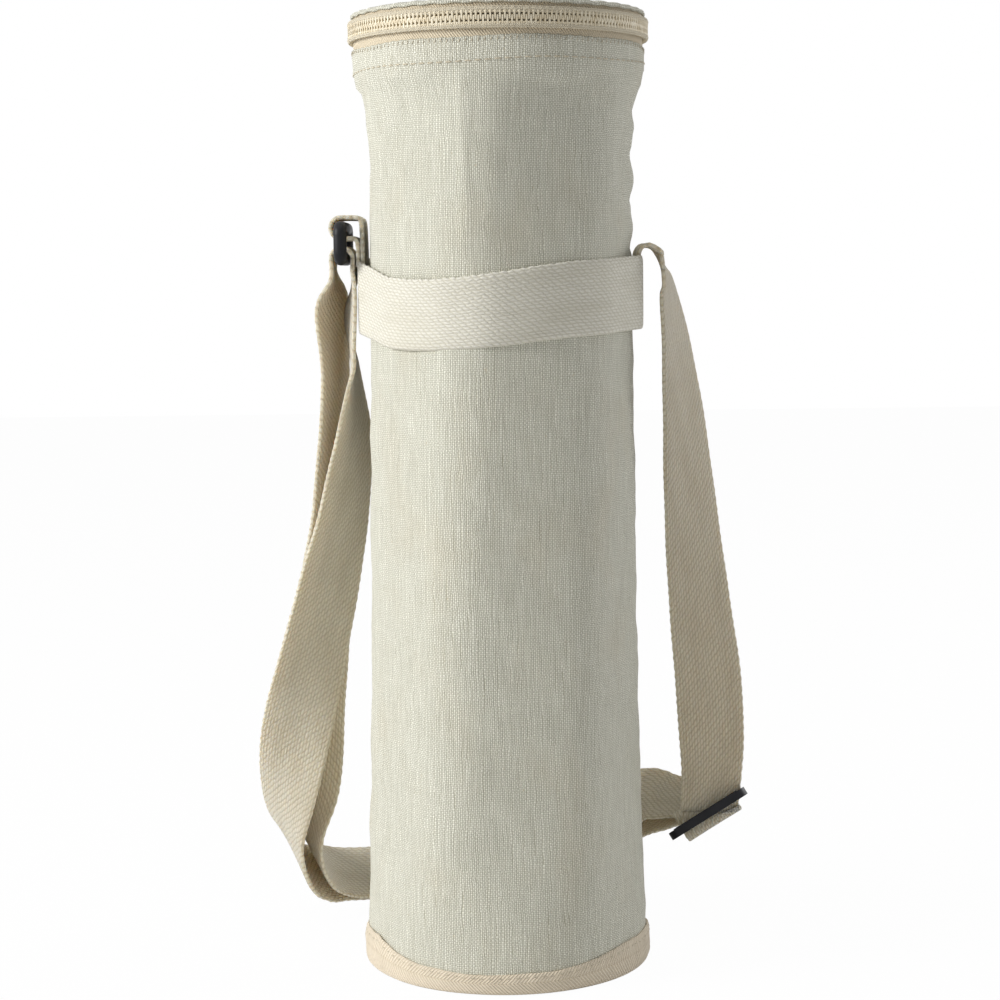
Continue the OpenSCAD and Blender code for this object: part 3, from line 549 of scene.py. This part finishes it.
LONG_RUN = [
    row(71.9, 36.3, 41.6, (0.82, 0.1, 0.54), 20), row(68.9, 41, 41.0, (0.7, 0.45, 0.55), 19),
    row(60.5, 48, 38.6, (0.35, 0.7, 0.62), 21), row(48.5, 54.5, 35.5, (0.1, 0.76, 0.64)),
    row(25.3, 62, 25.2, (0, 0.8, 0.6)), row(0, 66.5, 15.8, (0, 0.83, 0.56)),
    row(-25.3, 67, 11.8, (0, 0.83, 0.55)), row(-48.6, 64, 11.0, (0, 0.83, 0.55)),
    row(-63.9, 58.5, 12.0, (-0.06, 0.85, 0.52)), row(-70.9, 51, 15, (-0.14, 0.88, 0.46)),
    row(-74.9, 44, 20, (-0.22, 0.9, 0.4)), row(-77.8, 37, 27.6, (-0.36, 0.86, 0.36)),
    row(-79.7, 31, 38, (-0.57, 0.74, 0.34)), row(-78.5, 27, 51.3, (-0.8, 0.52, 0.28)),
    row(-74.5, 24, 75, (-0.93, 0, 0.24)), row(-67.5, 21, 103, (-0.9, -0.4, 0.14)),
    row(-60.7, 18, 131.2, (-0.79, -0.6, 0.1)), row(-55.9, 15, 152.2, (-0.64, -0.76, 0.06)),
    row(-52.2, 12, 175.2, (-0.48, -0.87, 0.02)), row(-50.9, 6.5, 201.2, (-0.06, -0.99, 0)),
    row(-51.4, 3.0, 213.2, (0.14, -0.98, 0)), row(-51.0, 2.6, 225.3, (0.18, -0.98, 0)),
    row(-49.85, 3.8, 235.3, (0, -1, 0))]
RING_TURN = [row(-RING_X + RING_TURN_R * math.cos(math.radians(t)), ANCHOR_Y,
                 RING_LOW + RING_TURN_R * math.sin(math.radians(t)), (0, -1, 0))
             for t in range(0, 181, 30)]
SHORT_RUN = [
    row(-57.1, 4.2, 235.3, (0, -1, 0)), row(-57.7, 5.8, 225.2, (-0.36, -0.93, 0.05)),
    row(-57.3, 10.5, 201.2, (-0.28, -0.95, 0.08)), row(-58.6, 16, 175.2, (-0.38, -0.92, 0.08)),
    row(-59.9, 20.5, 152.2, (-0.52, -0.85, 0.08)), row(-62.4, 24.2, 131.2, (-0.66, -0.74, 0.1)),
    row(-66.4, 28.4, 103, (-0.8, -0.58, 0.12)), row(-69.8, 32, 75, (-0.84, -0.4, 0.14)),
    row(-72.4, 35, 52.2, (-0.78, 0.15, 0.2)), row(-73.2, 38.5, 36.6, (-0.55, 0.78, 0.18)),
    row(-71.9, 43, 27, (-0.32, 0.93, 0.12)), row(-69.2, 48.5, 20, (-0.18, 0.95, 0.18)),
    row(-65.3, 54, 15.4, (-0.1, 0.92, 0.32)), row(-59.2, 58, 13, (-0.04, 0.87, 0.48)),
    row(-48.6, 60.4, 12.2, (0, 0.83, 0.55)), row(-25.3, 62.8, 13.4, (0, 0.83, 0.55)),
    row(0, 62.2, 18.5, (0, 0.82, 0.57)), row(25.3, 57.8, 30.8, (0, 0.8, 0.6)),
    row(48.5, 50.5, 42.5, (0.1, 0.76, 0.64)), row(59, 45.5, 43.4, (0.38, 0.7, 0.6), 21),
    row(67.2, 40, 43.6, (0.72, 0.42, 0.55), 18), row(70, 37.2, 44, (0.82, 0.1, 0.54), 19)]
SEWN_END = [at_glide(u, v) for u, v in (
    (11.1, 5.75), (5, 5.75), (0, 5.75), (-1.7, 5.4), (-2.5, 4.3), (-2.5, 1.5), (-2.5, -1.2),
    (-1.7, -2.2), (0, -2.4), (1.7, -2.2), (2.5, -1.2), (2.5, 1.5), (2.7, 3.2), (4.2, 4.2),
    (7, 4.25), (11.3, 4.25))]

whole, places = even(
    RIGHT_ROOT + RIGHT_RUN + THROUGH + LONG_RUN + RING_TURN + SHORT_RUN + SEWN_END, 1.0)


def nearest(point):
    """The index on the route's middle that is nearest a place."""
    return int(np.argmin(np.linalg.norm(whole[:, :3] - np.array(point, dtype=float), axis=1)))


# Where the strap is cut into pieces, from its sewn root to its sewn end
STOPS = [0, nearest((54.9, 5.0, 238.3)), nearest(THROUGH[0][:3]), nearest(THROUGH[-1][:3]),
         nearest((-48.6, 64, 11)), nearest((-48.6, 60.4, 12.2)), nearest(SEWN_END[0][:3]),
         len(whole) - 1]


def strap_piece(name, number, body=None):
    """The strap from one stop to the next."""
    first, last = STOPS[number], STOPS[number + 1]
    part = whole[first:last + 1]
    piece = ribbon(name, part, places[first:last + 1], body, seed=1.0)
    return piece


strap_root = strap_piece("strap_sewn_root", 0)
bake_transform(strap_root)
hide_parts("strap_root")
strap_right = strap_piece("strap_right_run", 1)
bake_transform(strap_right)
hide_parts("strap_right_upper", "strap_right_lower")
strap_pass = strap_piece("strap_through_adjuster", 2, "adjuster")
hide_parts("strap_glide_pass")
strap_long = strap_piece("strap_long_back_run", 3)
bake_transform(strap_long)
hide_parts("strap_long_back")
strap_left = strap_piece("strap_left_over_ring", 4, "strap")
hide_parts("strap_left_front", "strap_left_rear", "strap_ring_turn")
strap_short = strap_piece("strap_short_back_run", 5)
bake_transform(strap_short)
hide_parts("strap_short_back")
strap_end = strap_piece("strap_sewn_end", 6, "adjuster")
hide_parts("strap_end_fold")


def tab_bend(x, z, radius, side, angles):
    """Rows round a bend of the ring's tab; angles are from straight up."""
    return [row(x + side * radius * math.sin(math.radians(t)), 4,
                z + radius * math.cos(math.radians(t)), (0, -1, 0)) for t in angles]


# The tab rises under the band, bends out to the ring's top bar, goes round it and comes back down
FOLD_R, TAB_TURN_R = 2.25, 3.45
RING_TAB = [row(-x, 4, z, (0, -1, 0)) for x, z in (
    (45.75, 217), (45.8, 228), (46.2, 240), (46.25, 250))]
RING_TAB += tab_bend(-46.25 - FOLD_R, 252.8, FOLD_R, 1, (60, 30, 0))
RING_TAB += tab_bend(-RING_X, RING_TOP, TAB_TURN_R, -1, range(0, 181, 30))
RING_TAB += tab_bend(-50.0, 245.9, FOLD_R, 1, (0, 30, 60))
RING_TAB += [row(-47.75, 4, z, (0, -1, 0)) for z in (245.4, 242, 238.4)]
tab_rows, tab_places = even(RING_TAB, 0.8)
ring_tab = ribbon("ring_tab", tab_rows, tab_places, seed=3.0)
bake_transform(ring_tab)
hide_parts("ring_loop_root", "ring_loop")


# ---------------------------------------------------------------- the tube's cloth
# The tube's outside radius at heights above the floor
WALL = [(0.0, 48.3), (12, 48.2), (28, 47.9), (60, 46.9), (88, 46.2), (150, 45.6), (205, 45.1),
        (225, 44.8), (245, 44.8), (276, 44.9), (288, 45.8), (300, 47.6), (306, 48.6), (312, 49.3)]
HEM_Z, HEM_STITCH_Z = 310.2, 303.6


def wall_r(z):
    return lookup(WALL, z)


SMOOTH_Z = np.linspace(0, 312, 313)
SMOOTH_R = np.convolve(np.pad([wall_r(z) for z in SMOOTH_Z], 12, mode="edge"),
                       np.ones(25) / 25, mode="valid")


def facet_table():
    """Radius over angle of a soft prism: the cloth lies in flat fields between soft corners."""
    count, least = 1440, 0.12
    # Each corner: its angle, its share of the turn, and its half width in degrees
    corners = ((-50, 1.0, 6), (13, 1.4, 5), (68, 0.9, 7), (112, 0.9, 8), (160, 0.9, 8),
               (-152, 0.8, 8), (-104, 0.9, 8))
    psi = np.linspace(-math.pi, math.pi, count, endpoint=False)
    density = np.full(count, 0.16)
    for at, weight, width in corners:
        away = np.angle(np.exp(1j * (psi - math.radians(at))))
        density += weight * np.exp(-(away / math.radians(width)) ** 2)
    # The turning is evened out until the outline closes
    for _ in range(60):
        for wave in (np.cos(psi), np.sin(psi)):
            density -= wave * 2 * (density * wave).mean()
        density = np.clip(density, least, None)
    x = np.cumsum(density * np.cos(psi))
    y = np.cumsum(density * np.sin(psi))
    x, y = x - x.mean(), y - y.mean()
    angle = np.unwrap(np.arctan2(x, -y))
    radius = np.hypot(x, y)
    order = np.argsort(angle % (2 * math.pi))
    radius = radius / radius.mean()
    return np.degrees(angle[order] % (2 * math.pi)), radius[order]


FACET_A, FACET_R = facet_table()


def facet(a):
    """How far the prism stands out from its mean, as a share of the radius."""
    return float(np.interp(a % 360.0, FACET_A, FACET_R, period=360.0)) - 1.0


def hem_stitch_z(a):
    return HEM_STITCH_Z + 1.3 * ripple(a - 20, 1) + 0.3 * ripple(a, 5)


def hem_z(a):
    return HEM_Z + 0.45 * ripple(a, 2, 30) + 0.2 * ripple(a, 7) + 0.12 * ripple(a, 80)


def cloth_r(a, z):
    """Outside radius of the linen at an angle and height."""
    r = float(np.interp(z, SMOOTH_Z, SMOOTH_R))
    # The fields fade out at the foot, at the mouth and under the band, and twist up the tube
    grip = ramp(z - 10, 40, 0.0) * ramp(309 - z, 22, 0.0)
    waist = math.exp(-((z - 226) / 16) ** 2)
    twist = -5.0 + 0.0283 * (z - 50) + 0.000115 * (z - 50) ** 2
    r += r * facet(a - twist) * grip * (1 - 0.55 * waist)
    r += 0.35 * wobble(a, z, 2) * (0.3 + 0.7 * grip)
    r += 0.16 * wobble(a * 3, z * 2.5, 5)
    # The side seams pucker between the band and the mouth, and a soft fold runs down from the hem
    above_band = z - 236
    seam = 1.5 * abs(math.sin(math.pi * (z + 4) / 15.5)) - 0.8 + 0.3 * wobble(0, z * 4, 12)
    r += seam * near(a, 92, 12) * ramp(above_band, 12, 0.12)
    r += 0.5 * seam * near(a, -90, 8) * ramp(above_band, 12, 0.1)
    r += 0.45 * near(a, -14, 3.2) * ramp(above_band, 20) * ramp(306 - z, 10)
    # The stitching of the hem draws the cloth in
    r -= 0.38 * math.exp(-((z - hem_stitch_z(a)) / 0.9) ** 2)
    # The hem stays outside the lining and the tape
    if z >= 303:
        r = max(r, 48.85 + 0.12 * wobble(a, z * 3, 9))
    elif z > 296:
        least = 48.95 * min(1.0, (z - 296) / 7.0) + 47.6 * max(0.0, (303 - z) / 7.0)
        r = max(r, least - 0.2)
    return r


def ring_run(count, middle, along=(1.0, 0.0), rise=0.0):
    """Stitches set evenly round the tube: middle(a) gives their radius and height.

    along holds a thread's run round and up the tube, and rise tips its outward side up.
    """
    run = []
    for a in np.arange(count) * 360.0 / count:
        r, z = middle(a)
        run.append(((*polar(a, r), z), (*polar(a + 90, along[0]), along[1]), (*polar(a, 1), rise)))
    return run


# The profile: the outside at full radius, then the hem's rolled edge and its turned-in ply
LINEN_T, TURN_STEPS = 0.9, 420
outside = [*np.linspace(1.2, 300, 150), *np.linspace(300.7, 309.6, 26)]
profile = [(None, z) for z in outside]
profile += [(0.0, HEM_Z), (-0.5, 310.45), (-1.0, HEM_Z), (-1.1, 308), (-1.1, 303)]
angles = np.linspace(90, 450, TURN_STEPS + 1)
rows, cols = TURN_STEPS, len(profile)
points = np.zeros((rows, cols, 3))
for i, a in enumerate(angles[:-1]):
    lift = hem_z(a) - HEM_Z
    for j, (inset, z) in enumerate(profile):
        if z > 300:
            z = z + lift * (z - 300) / 10.0
        r = cloth_r(a, z) if inset is None else cloth_r(a, 309.6) + inset - 0.05
        points[i, j] = (*polar(a, r), z)
rise = np.concatenate([[0], np.cumsum(np.linalg.norm(np.diff(points[0], axis=0), axis=1))])
faces, uvs = [], []
for i in range(rows):
    for j in range(cols - 1):
        corners = ((i, j), (i + 1, j), (i + 1, j + 1), (i, j + 1))
        faces.append(tuple(p % rows * cols + q for p, q in corners))
        uvs.append(tuple((math.radians(angles[p]) * 46.0, rise[q]) for p, q in corners))
tube = finish_mesh("tube_cloth", points.reshape(-1, 3) * MM, faces, uvs, LINEN, "bag")
ply = tube.modifiers.new("ply", "SOLIDIFY")
ply.thickness = LINEN_T * MM
ply.offset = -1.0
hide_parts("outer_shell")


def hem_row(a):
    z = hem_stitch_z(a)
    return cloth_r(a, z) + 0.22, z


stitches("hem_stitching", ring_run(96, hem_row, (1.0, 0.02)), "bag", 2.4, 0.5, 0.3)
edge_run = ring_run(150, lambda a: (cloth_r(a, 309.0) + 0.12, hem_z(a) - 0.9), (0.35, 1.0))
stitches("hem_edge_stitching", edge_run, "bag", 1.5, 0.35, 0.25)


# ---------------------------------------------------------------- lining, base and binding
WALL_Z = list(np.linspace(14, 288, 46))


def lining_shape(a, r, z):
    """The lining keeps inside the cloth where that lies in flat fields."""
    if r > 39 and 12 < z < 300:
        inner = r < 43.2
        return r + cloth_r(a, z) - wall_r(z) - 0.2 + 0.3 * wobble(a, z, 4, 1.5) * inner, z
    return r, z


lining_profile = [(0.0, 1.15), (35.6, 1.15), (40.8, 6.4), (46.6, 6.4)]
lining_profile += [(wall_r(z) - 1.3, z) for z in WALL_Z]
lining_profile += [(46.9, 302.4), (47.3, 309.2), (46.6, 309.5), (43.9, 309.3), (43.4, 308.4),
                   (43.0, 302)]
lining_profile += [(wall_r(z) - 5.0, z) for z in WALL_Z[::-1]]
lining_profile += [(40.6, 10.4), (38.9, 9.6), (33.9, 4.8), (20, 4.7), (0.0, 4.7)]
lining = revolve("tube_lining", lining_profile, LINER, "bag", lining_shape, 240, flat=39.0)
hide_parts("liner_wall", "foam_wall", "base_liner", "base_foam")


def base_shape(a, r, z):
    """The base's cloth is a little uneven, but for its face on the floor."""
    return r, z + (0.12 * wobble(a, r * 4, 3) * (2 < r < 34) if z > 0.15 else 0.0)


base_profile = [
    (0.0, 0.1), (12, 0.1), (28, 0.1), (35.8, 0.2), (37.4, 0.9), (40.2, 4.0), (41.6, 5.0),
    (43.2, 5.3), (47.2, 5.3), (47.3, 5.8), (47.2, 6.2), (41.2, 6.1), (39.6, 5.2), (37.0, 2.0),
    (35.4, 1.1), (0.0, 1.05)]
base = revolve("base_cloth", base_profile, LINEN, "bag", base_shape, 192, flat=48.0)
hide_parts("base_cover")

# The height of the binding's top edge at angles round the foot
BIND_TOP = [
    (-180, 8.4), (-110, 9.5), (-82, 12.3), (-64, 12.6), (-50, 9.6), (-38, 7.6), (-20, 6.8),
    (0, 6.9), (17, 7.0), (35, 9.0), (55, 11.2), (75, 11.6), (100, 9.5), (140, 8.2), (180, 8.4)]


def binding_shape(a, r, z):
    """Draws the profile's outer side up to the top edge, and waves its face."""
    top = lookup(BIND_TOP, signed(a)) + 0.2 * ripple(a, 9)
    if z > 1.5 and r > 47.5:
        z = 1.5 + (z - 1.5) * (top - 1.5) / 6.3
    if r > 46:
        r += 0.2 * wobble(a, z * 6, 6) + 0.12 * ripple(a, 40) * (z > 4)
    return r, z


binding_profile = [
    (46.3, 5.0), (45.7, 5.05), (45.45, 4.6), (45.45, 1.2), (45.8, 0.3), (46.6, 0.02),
    (48.6, 0.05), (49.25, 0.5), (49.55, 1.6), (49.5, 3.4), (49.4, 5.2), (49.25, 6.6),
    (49.0, 7.5), (48.6, 7.8), (48.2, 7.6), (48.3, 5.0), (48.6, 1.2), (48.2, 0.9), (46.6, 0.9),
    (46.35, 1.2)]
binding = revolve("foot_binding", binding_profile, BINDING, "bag",
                  binding_shape, 360, loop=True)
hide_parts("base_binding")
bind_run = ring_run(104, lambda a: binding_shape(a, 49.3, 6.5), rise=0.1)
stitches("binding_stitching", bind_run, "bag", 2.3, 0.45, 0.3)


# ---------------------------------------------------------------- band
# The height of the band's top edge at angles round the tube
BAND_TOP = [
    (-180, 239.0), (-150, 239.5), (-115, 241.5), (-90, 242.0), (-66, 237.8), (-54, 235.2),
    (-42, 234.4), (-30, 234.2), (-15, 235.0), (4, 236.8), (15, 238.2), (32, 239.6), (63, 240.8),
    (90, 241.6), (115, 241.2), (150, 239.6), (180, 239.0)]
BAND_STEP = 0.75
# The band is pulled taut round the cloth and the sewn ends under it: its radius is the hull's
BAND_A = np.arange(90.0, 450.0, BAND_STEP)
SEWN_OUT, SEWN_HALF = 46.6, 12.6
held = [polar(a, cloth_r(a, 228) + 0.15) for a in BAND_A]
held += [(side * SEWN_OUT, ANCHOR_Y + y) for side in (-1, 1) for y in (-SEWN_HALF, SEWN_HALF)]
facing = np.array([polar(a, 1.0) for a in np.arange(0.0, 360.0, 0.5)])
support = (np.array(held) @ facing.T).max(axis=0)
toward = np.array([polar(a, 1.0) for a in BAND_A])
BAND_R = np.array([(support[c > 0.2] / c[c > 0.2]).min() for c in toward @ facing.T])
# Its outline: how far out from that radius, and how far up its width
BAND_PROFILE = [
    (0.0, 0.6), (0.5, 0.0), (1.0, 0.4), (1.25, 1.6), (1.3, 5), (1.3, 9), (1.3, 13), (1.3, 17),
    (1.3, 21), (1.25, 23.4), (1.0, 24.6), (0.5, 25.0), (0.0, 24.5), (-0.05, 13)]
rows, cols = len(BAND_A), len(BAND_PROFILE)
points = np.zeros((rows, cols, 3))
for i, a in enumerate(BAND_A):
    edge = lookup(BAND_TOP, signed(a))
    top = edge + 0.15 * ripple(a, 90)
    low = edge - 24.6 + 1.4 * near(a, -30, 40)
    for j, (out, up) in enumerate(BAND_PROFILE):
        z = low + (top - low) * up / WEB_W
        loose = 0.35 * near(a, -40, 40) if up > 22 else 0.0
        points[i, j] = (*polar(a, BAND_R[i] + out + loose), z)
faces, uvs = [], []
for i in range(rows):
    for j in range(cols):
        k = (j + 1) % cols
        corners = ((i, j), (i + 1, j), (i + 1, k), (i, k))
        faces.append(tuple(p % rows * cols + q for p, q in corners))
        uvs.append(tuple((BAND_PROFILE[q][1] - WEB_W / 2, math.radians(90 + BAND_STEP * p) * 47.0)
                         for p, q in corners))
band = finish_mesh("tube_band", points.reshape(-1, 3) * MM, faces, uvs, BAND, "bag")
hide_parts("band_webbing")


# ---------------------------------------------------------------- zip
# The rows of turns stop short of the back by so many degrees at the right and at the left
ZIP_Z, CHAIN_RIGHT, CHAIN_LEFT = 316, 42.0, 26.0
TAPE_BACK_A, HINGE_HALF_A = 24.6, 24
CHAIN_FIRST, CHAIN_LAST = -180 + CHAIN_LEFT, 180 - CHAIN_RIGHT
COIL_PITCH, COIL_R = 1.5, 49.4
tape_low = revolve(
    "zip_tape_lower_cloth",
    [(47.8, 303.2), (48.35, 303.2), (48.4, 310), (48.45, 313.6), (48.2, 314.3), (47.8, 314.2)],
    ZIP_CLOTH, "bag", None, 300, -180 + TAPE_BACK_A, 180 - TAPE_BACK_A, loop=True)
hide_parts("zip_tape_lower")
tape_up = revolve(
    "zip_tape_upper_cloth",
    [(47.8, 317.7), (48.2, 317.7), (48.45, 318.3), (48.45, 320.7), (47.9, 321.25), (41.0, 321.35),
     (41.0, 320.9), (47.3, 320.8), (47.75, 320.3)],
    ZIP_CLOTH, "lid", None, 300, CHAIN_FIRST - 1, CHAIN_LAST, loop=True)
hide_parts("zip_tape_upper")


def cord_shape(a, r, z):
    return r + 0.06 * ripple(a, 140), z + 0.05 * ripple(a, 140)


def cord_ring(name, radius, z, thick, body, first, last):
    """A round cord sewn along the zip; thick is its own radius."""
    ring = [(radius + thick * math.cos(t), z + thick * math.sin(t))
            for t in np.arange(8) * math.pi / 4]
    return revolve(name, ring, THREAD, body, cord_shape, 480, first, last, loop=True)


coil_step = COIL_PITCH * 360 / (2 * math.pi * COIL_R)
coil_count = int((360.0 - CHAIN_RIGHT - CHAIN_LEFT) * 2 * math.pi * COIL_R / 360 / COIL_PITCH) - 2
for part, side, body, spare in (("lower", -1, "bag", 1), ("upper", 1, "lid", 0)):
    cord_ring("zip_cord_" + part, 50.0, ZIP_Z + side * 2.5, 0.42, body,
              CHAIN_FIRST, CHAIN_LAST - 1)
    cord_ring("zip_edge_" + part, 49.9, ZIP_Z + side * 3.05, 0.32, body,
              CHAIN_FIRST - spare, CHAIN_LAST - 1)
    cord_ring("zip_filler_" + part, 49.58, ZIP_Z + side * 1.8, 0.58, body,
              CHAIN_FIRST, CHAIN_LAST)
    run = []
    for k in range(coil_count):
        a = 180.0 + CHAIN_LEFT + (k + 1) * coil_step
        run.append(((*polar(a, 50.15), ZIP_Z + side * 1.8),
                    (*polar(a + 90, 1.6), 1.0), (*polar(a, 1.0), 0)))
    stitches("zip_stitching_" + part, run, body, 1.15, 0.75, 0.4, COIL)


# ---------------------------------------------------------------- lid and hinge
def lid_shape(a, r, z):
    """The lid's edge is scalloped by its stitches, and its top is a little uneven."""
    if r > 46:
        r += 0.14 * ripple(a, 42) * (1 if z > 321 else 0.4) + 0.12 * wobble(a, z, 3)
        z += 0.16 * ripple(a, 42, 50) + 0.14 * wobble(a, 0, 7)
    else:
        z += 0.3 * wobble(a, r * 4, 8) * min(1.0, r / 20)
    return r, z


def lid_lining_shape(a, r, z):
    return r, z + (0.2 * wobble(a, r * 5, 4) * min(1.0, r / 10) if z < 318 else 0.0)


lid_profile = [
    (0.0, 322.2), (30, 321.7), (41, 321.5), (46, 321.4), (48.3, 320.7), (49.0, 320.6),
    (49.3, 321.0), (49.2, 321.6), (48.6, 322.0), (47, 322.3), (44.8, 322.5), (43.6, 322.3),
    (42.4, 322.6), (38, 322.9), (30, 323.1), (20, 323.4), (10, 323.6), (0.0, 323.6)]
lid = revolve("lid_cloth", lid_profile, LINEN, "lid", lid_shape, 384, flat=48.7)
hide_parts("lid_cover")
lid_lining = revolve(
    "lid_lining",
    [(0.0, 317.2), (20, 317.1), (40, 317.3), (44.6, 317.5), (45.2, 318.2), (45.3, 320.4),
     (44.9, 320.7), (30, 320.75), (0.0, 320.75)],
    LINER, "lid", lid_lining_shape, 180, flat=45.0)
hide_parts("lid_liner", "lid_foam")
lid_run = [((*polar(a, 43.6), 322.45), (*polar(a + 90, 1), 0), (0, 0, 1))
           for a in np.arange(88) * 360.0 / 88]
stitches("lid_stitching", lid_run, "lid", 2.4, 0.5, 0.3)

hinge = revolve(
    "hinge_cloth",
    [(47.7, 303.4), (48.4, 303.4), (48.45, 308), (48.5, 312), (48.8, 314), (48.9, 316), (48.8, 318),
     (48.5, 320.4), (47.8, 320.6), (48.1, 318), (48.2, 316), (48.1, 314), (47.8, 312)],
    LINEN, None, None, 40, 180 - HINGE_HALF_A, 180 + HINGE_HALF_A, loop=True)
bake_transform(hinge)
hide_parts("lid_hinge_strip")


# ---------------------------------------------------------------- CAD nodes that show as they are
def dress(node, material, bevel=0.0):
    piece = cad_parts[node]
    for place in piece.material_slots:
        place.link = "OBJECT"
        place.material = material
    if bevel:
        modifier = piece.modifiers.new("soft edge", "BEVEL")
        modifier.width = bevel * MM
        modifier.segments = 3
        modifier.limit_method = "ANGLE"
        modifier.angle_limit = math.radians(40)


dress("zip_coil_lower", COIL)
dress("zip_coil_upper", COIL)
dress("zip_slider", ENAMEL, 0.25)
dress("zip_pull", ENAMEL, 0.25)
dress("strap_ring", BLACK)
dress("tri_glide", BLACK, 0.5)


# ---------------------------------------------------------------- floor, lamps and world
# The share of white that the floor adds where it is seen, and the world's light on the object
FLOOR_WHITE, WORLD_LIGHT = 0.975, 0.283
FLOOR_HALF, FLOOR_Z = 3, -0.0003  # metres


def background_rays(graph):
    """1 for rays that show the background itself: straight, mirrored or through glass."""
    path = graph.tree.nodes.new("ShaderNodeLightPath")
    seen = graph.calc("MAXIMUM", path.outputs["Is Camera Ray"], path.outputs["Is Glossy Ray"])
    return graph.calc("MAXIMUM", seen, path.outputs["Is Transmission Ray"])


floor_mesh = bpy.data.meshes.new("floor")
floor_corners = [(x * FLOOR_HALF, y * FLOOR_HALF, FLOOR_Z)
                 for x, y in ((-1, -1), (1, -1), (1, 1), (-1, 1))]
floor_mesh.from_pydata(floor_corners, [], [(0, 1, 2, 3)])
floor = bpy.data.objects.new("floor", floor_mesh)
bpy.context.scene.collection.objects.link(floor)
s = Surface("floor")
s.set(Base_Color=(0.9, 0.9, 0.9, 1), Roughness=0.9)
glow = s.tree.nodes.new("ShaderNodeEmission")
glow.inputs["Color"].default_value = (1, 1, 1, 1)
blend = s.tree.nodes.new("ShaderNodeMixShader")
s.feed(blend.inputs[0], s.mul(background_rays(s), FLOOR_WHITE))
s.feed(blend.inputs[1], s.shader.outputs[0])
s.feed(blend.inputs[2], glow.outputs[0])
s.feed(s.find("OUTPUT_MATERIAL").inputs[0], blend.outputs[0])
floor_mesh.materials.append(s.material)

world = bpy.data.worlds.new("studio")
bpy.context.scene.world = world
world.use_nodes = True
sky = Graph(world.node_tree)
background = sky.find("BACKGROUND")
background.inputs["Color"].default_value = (1, 1, 1, 1)
sky.feed(background.inputs["Strength"],
         sky.mad(background_rays(sky), 1.0 - WORLD_LIGHT, WORLD_LIGHT))


def lamp(name, azimuth, elevation, distance, size, power):
    """A square soft box that looks at the tube. Azimuth is from the front, towards the right."""
    data = bpy.data.lights.new(name, "AREA")
    data.shape = "SQUARE"
    data.size = size
    data.energy = power
    light = bpy.data.objects.new(name, data)
    a, e = math.radians(azimuth), math.radians(elevation)
    out = Vector((math.sin(a) * math.cos(e), -math.cos(a) * math.cos(e), math.sin(e)))
    light.location = Vector((0, 0, 0.16)) + out * distance
    light.rotation_euler = (-out).to_track_quat("-Z", "Y").to_euler()
    bpy.context.scene.collection.objects.link(light)


lamp("key", -72, 22, 1.6, 0.6, 21.0)
lamp("top", 0, 80, 1.6, 1.0, 5.0)
lamp("rim", 120, 15, 1.4, 0.6, 4.6)

bpy.context.scene.view_settings.view_transform = "Standard"
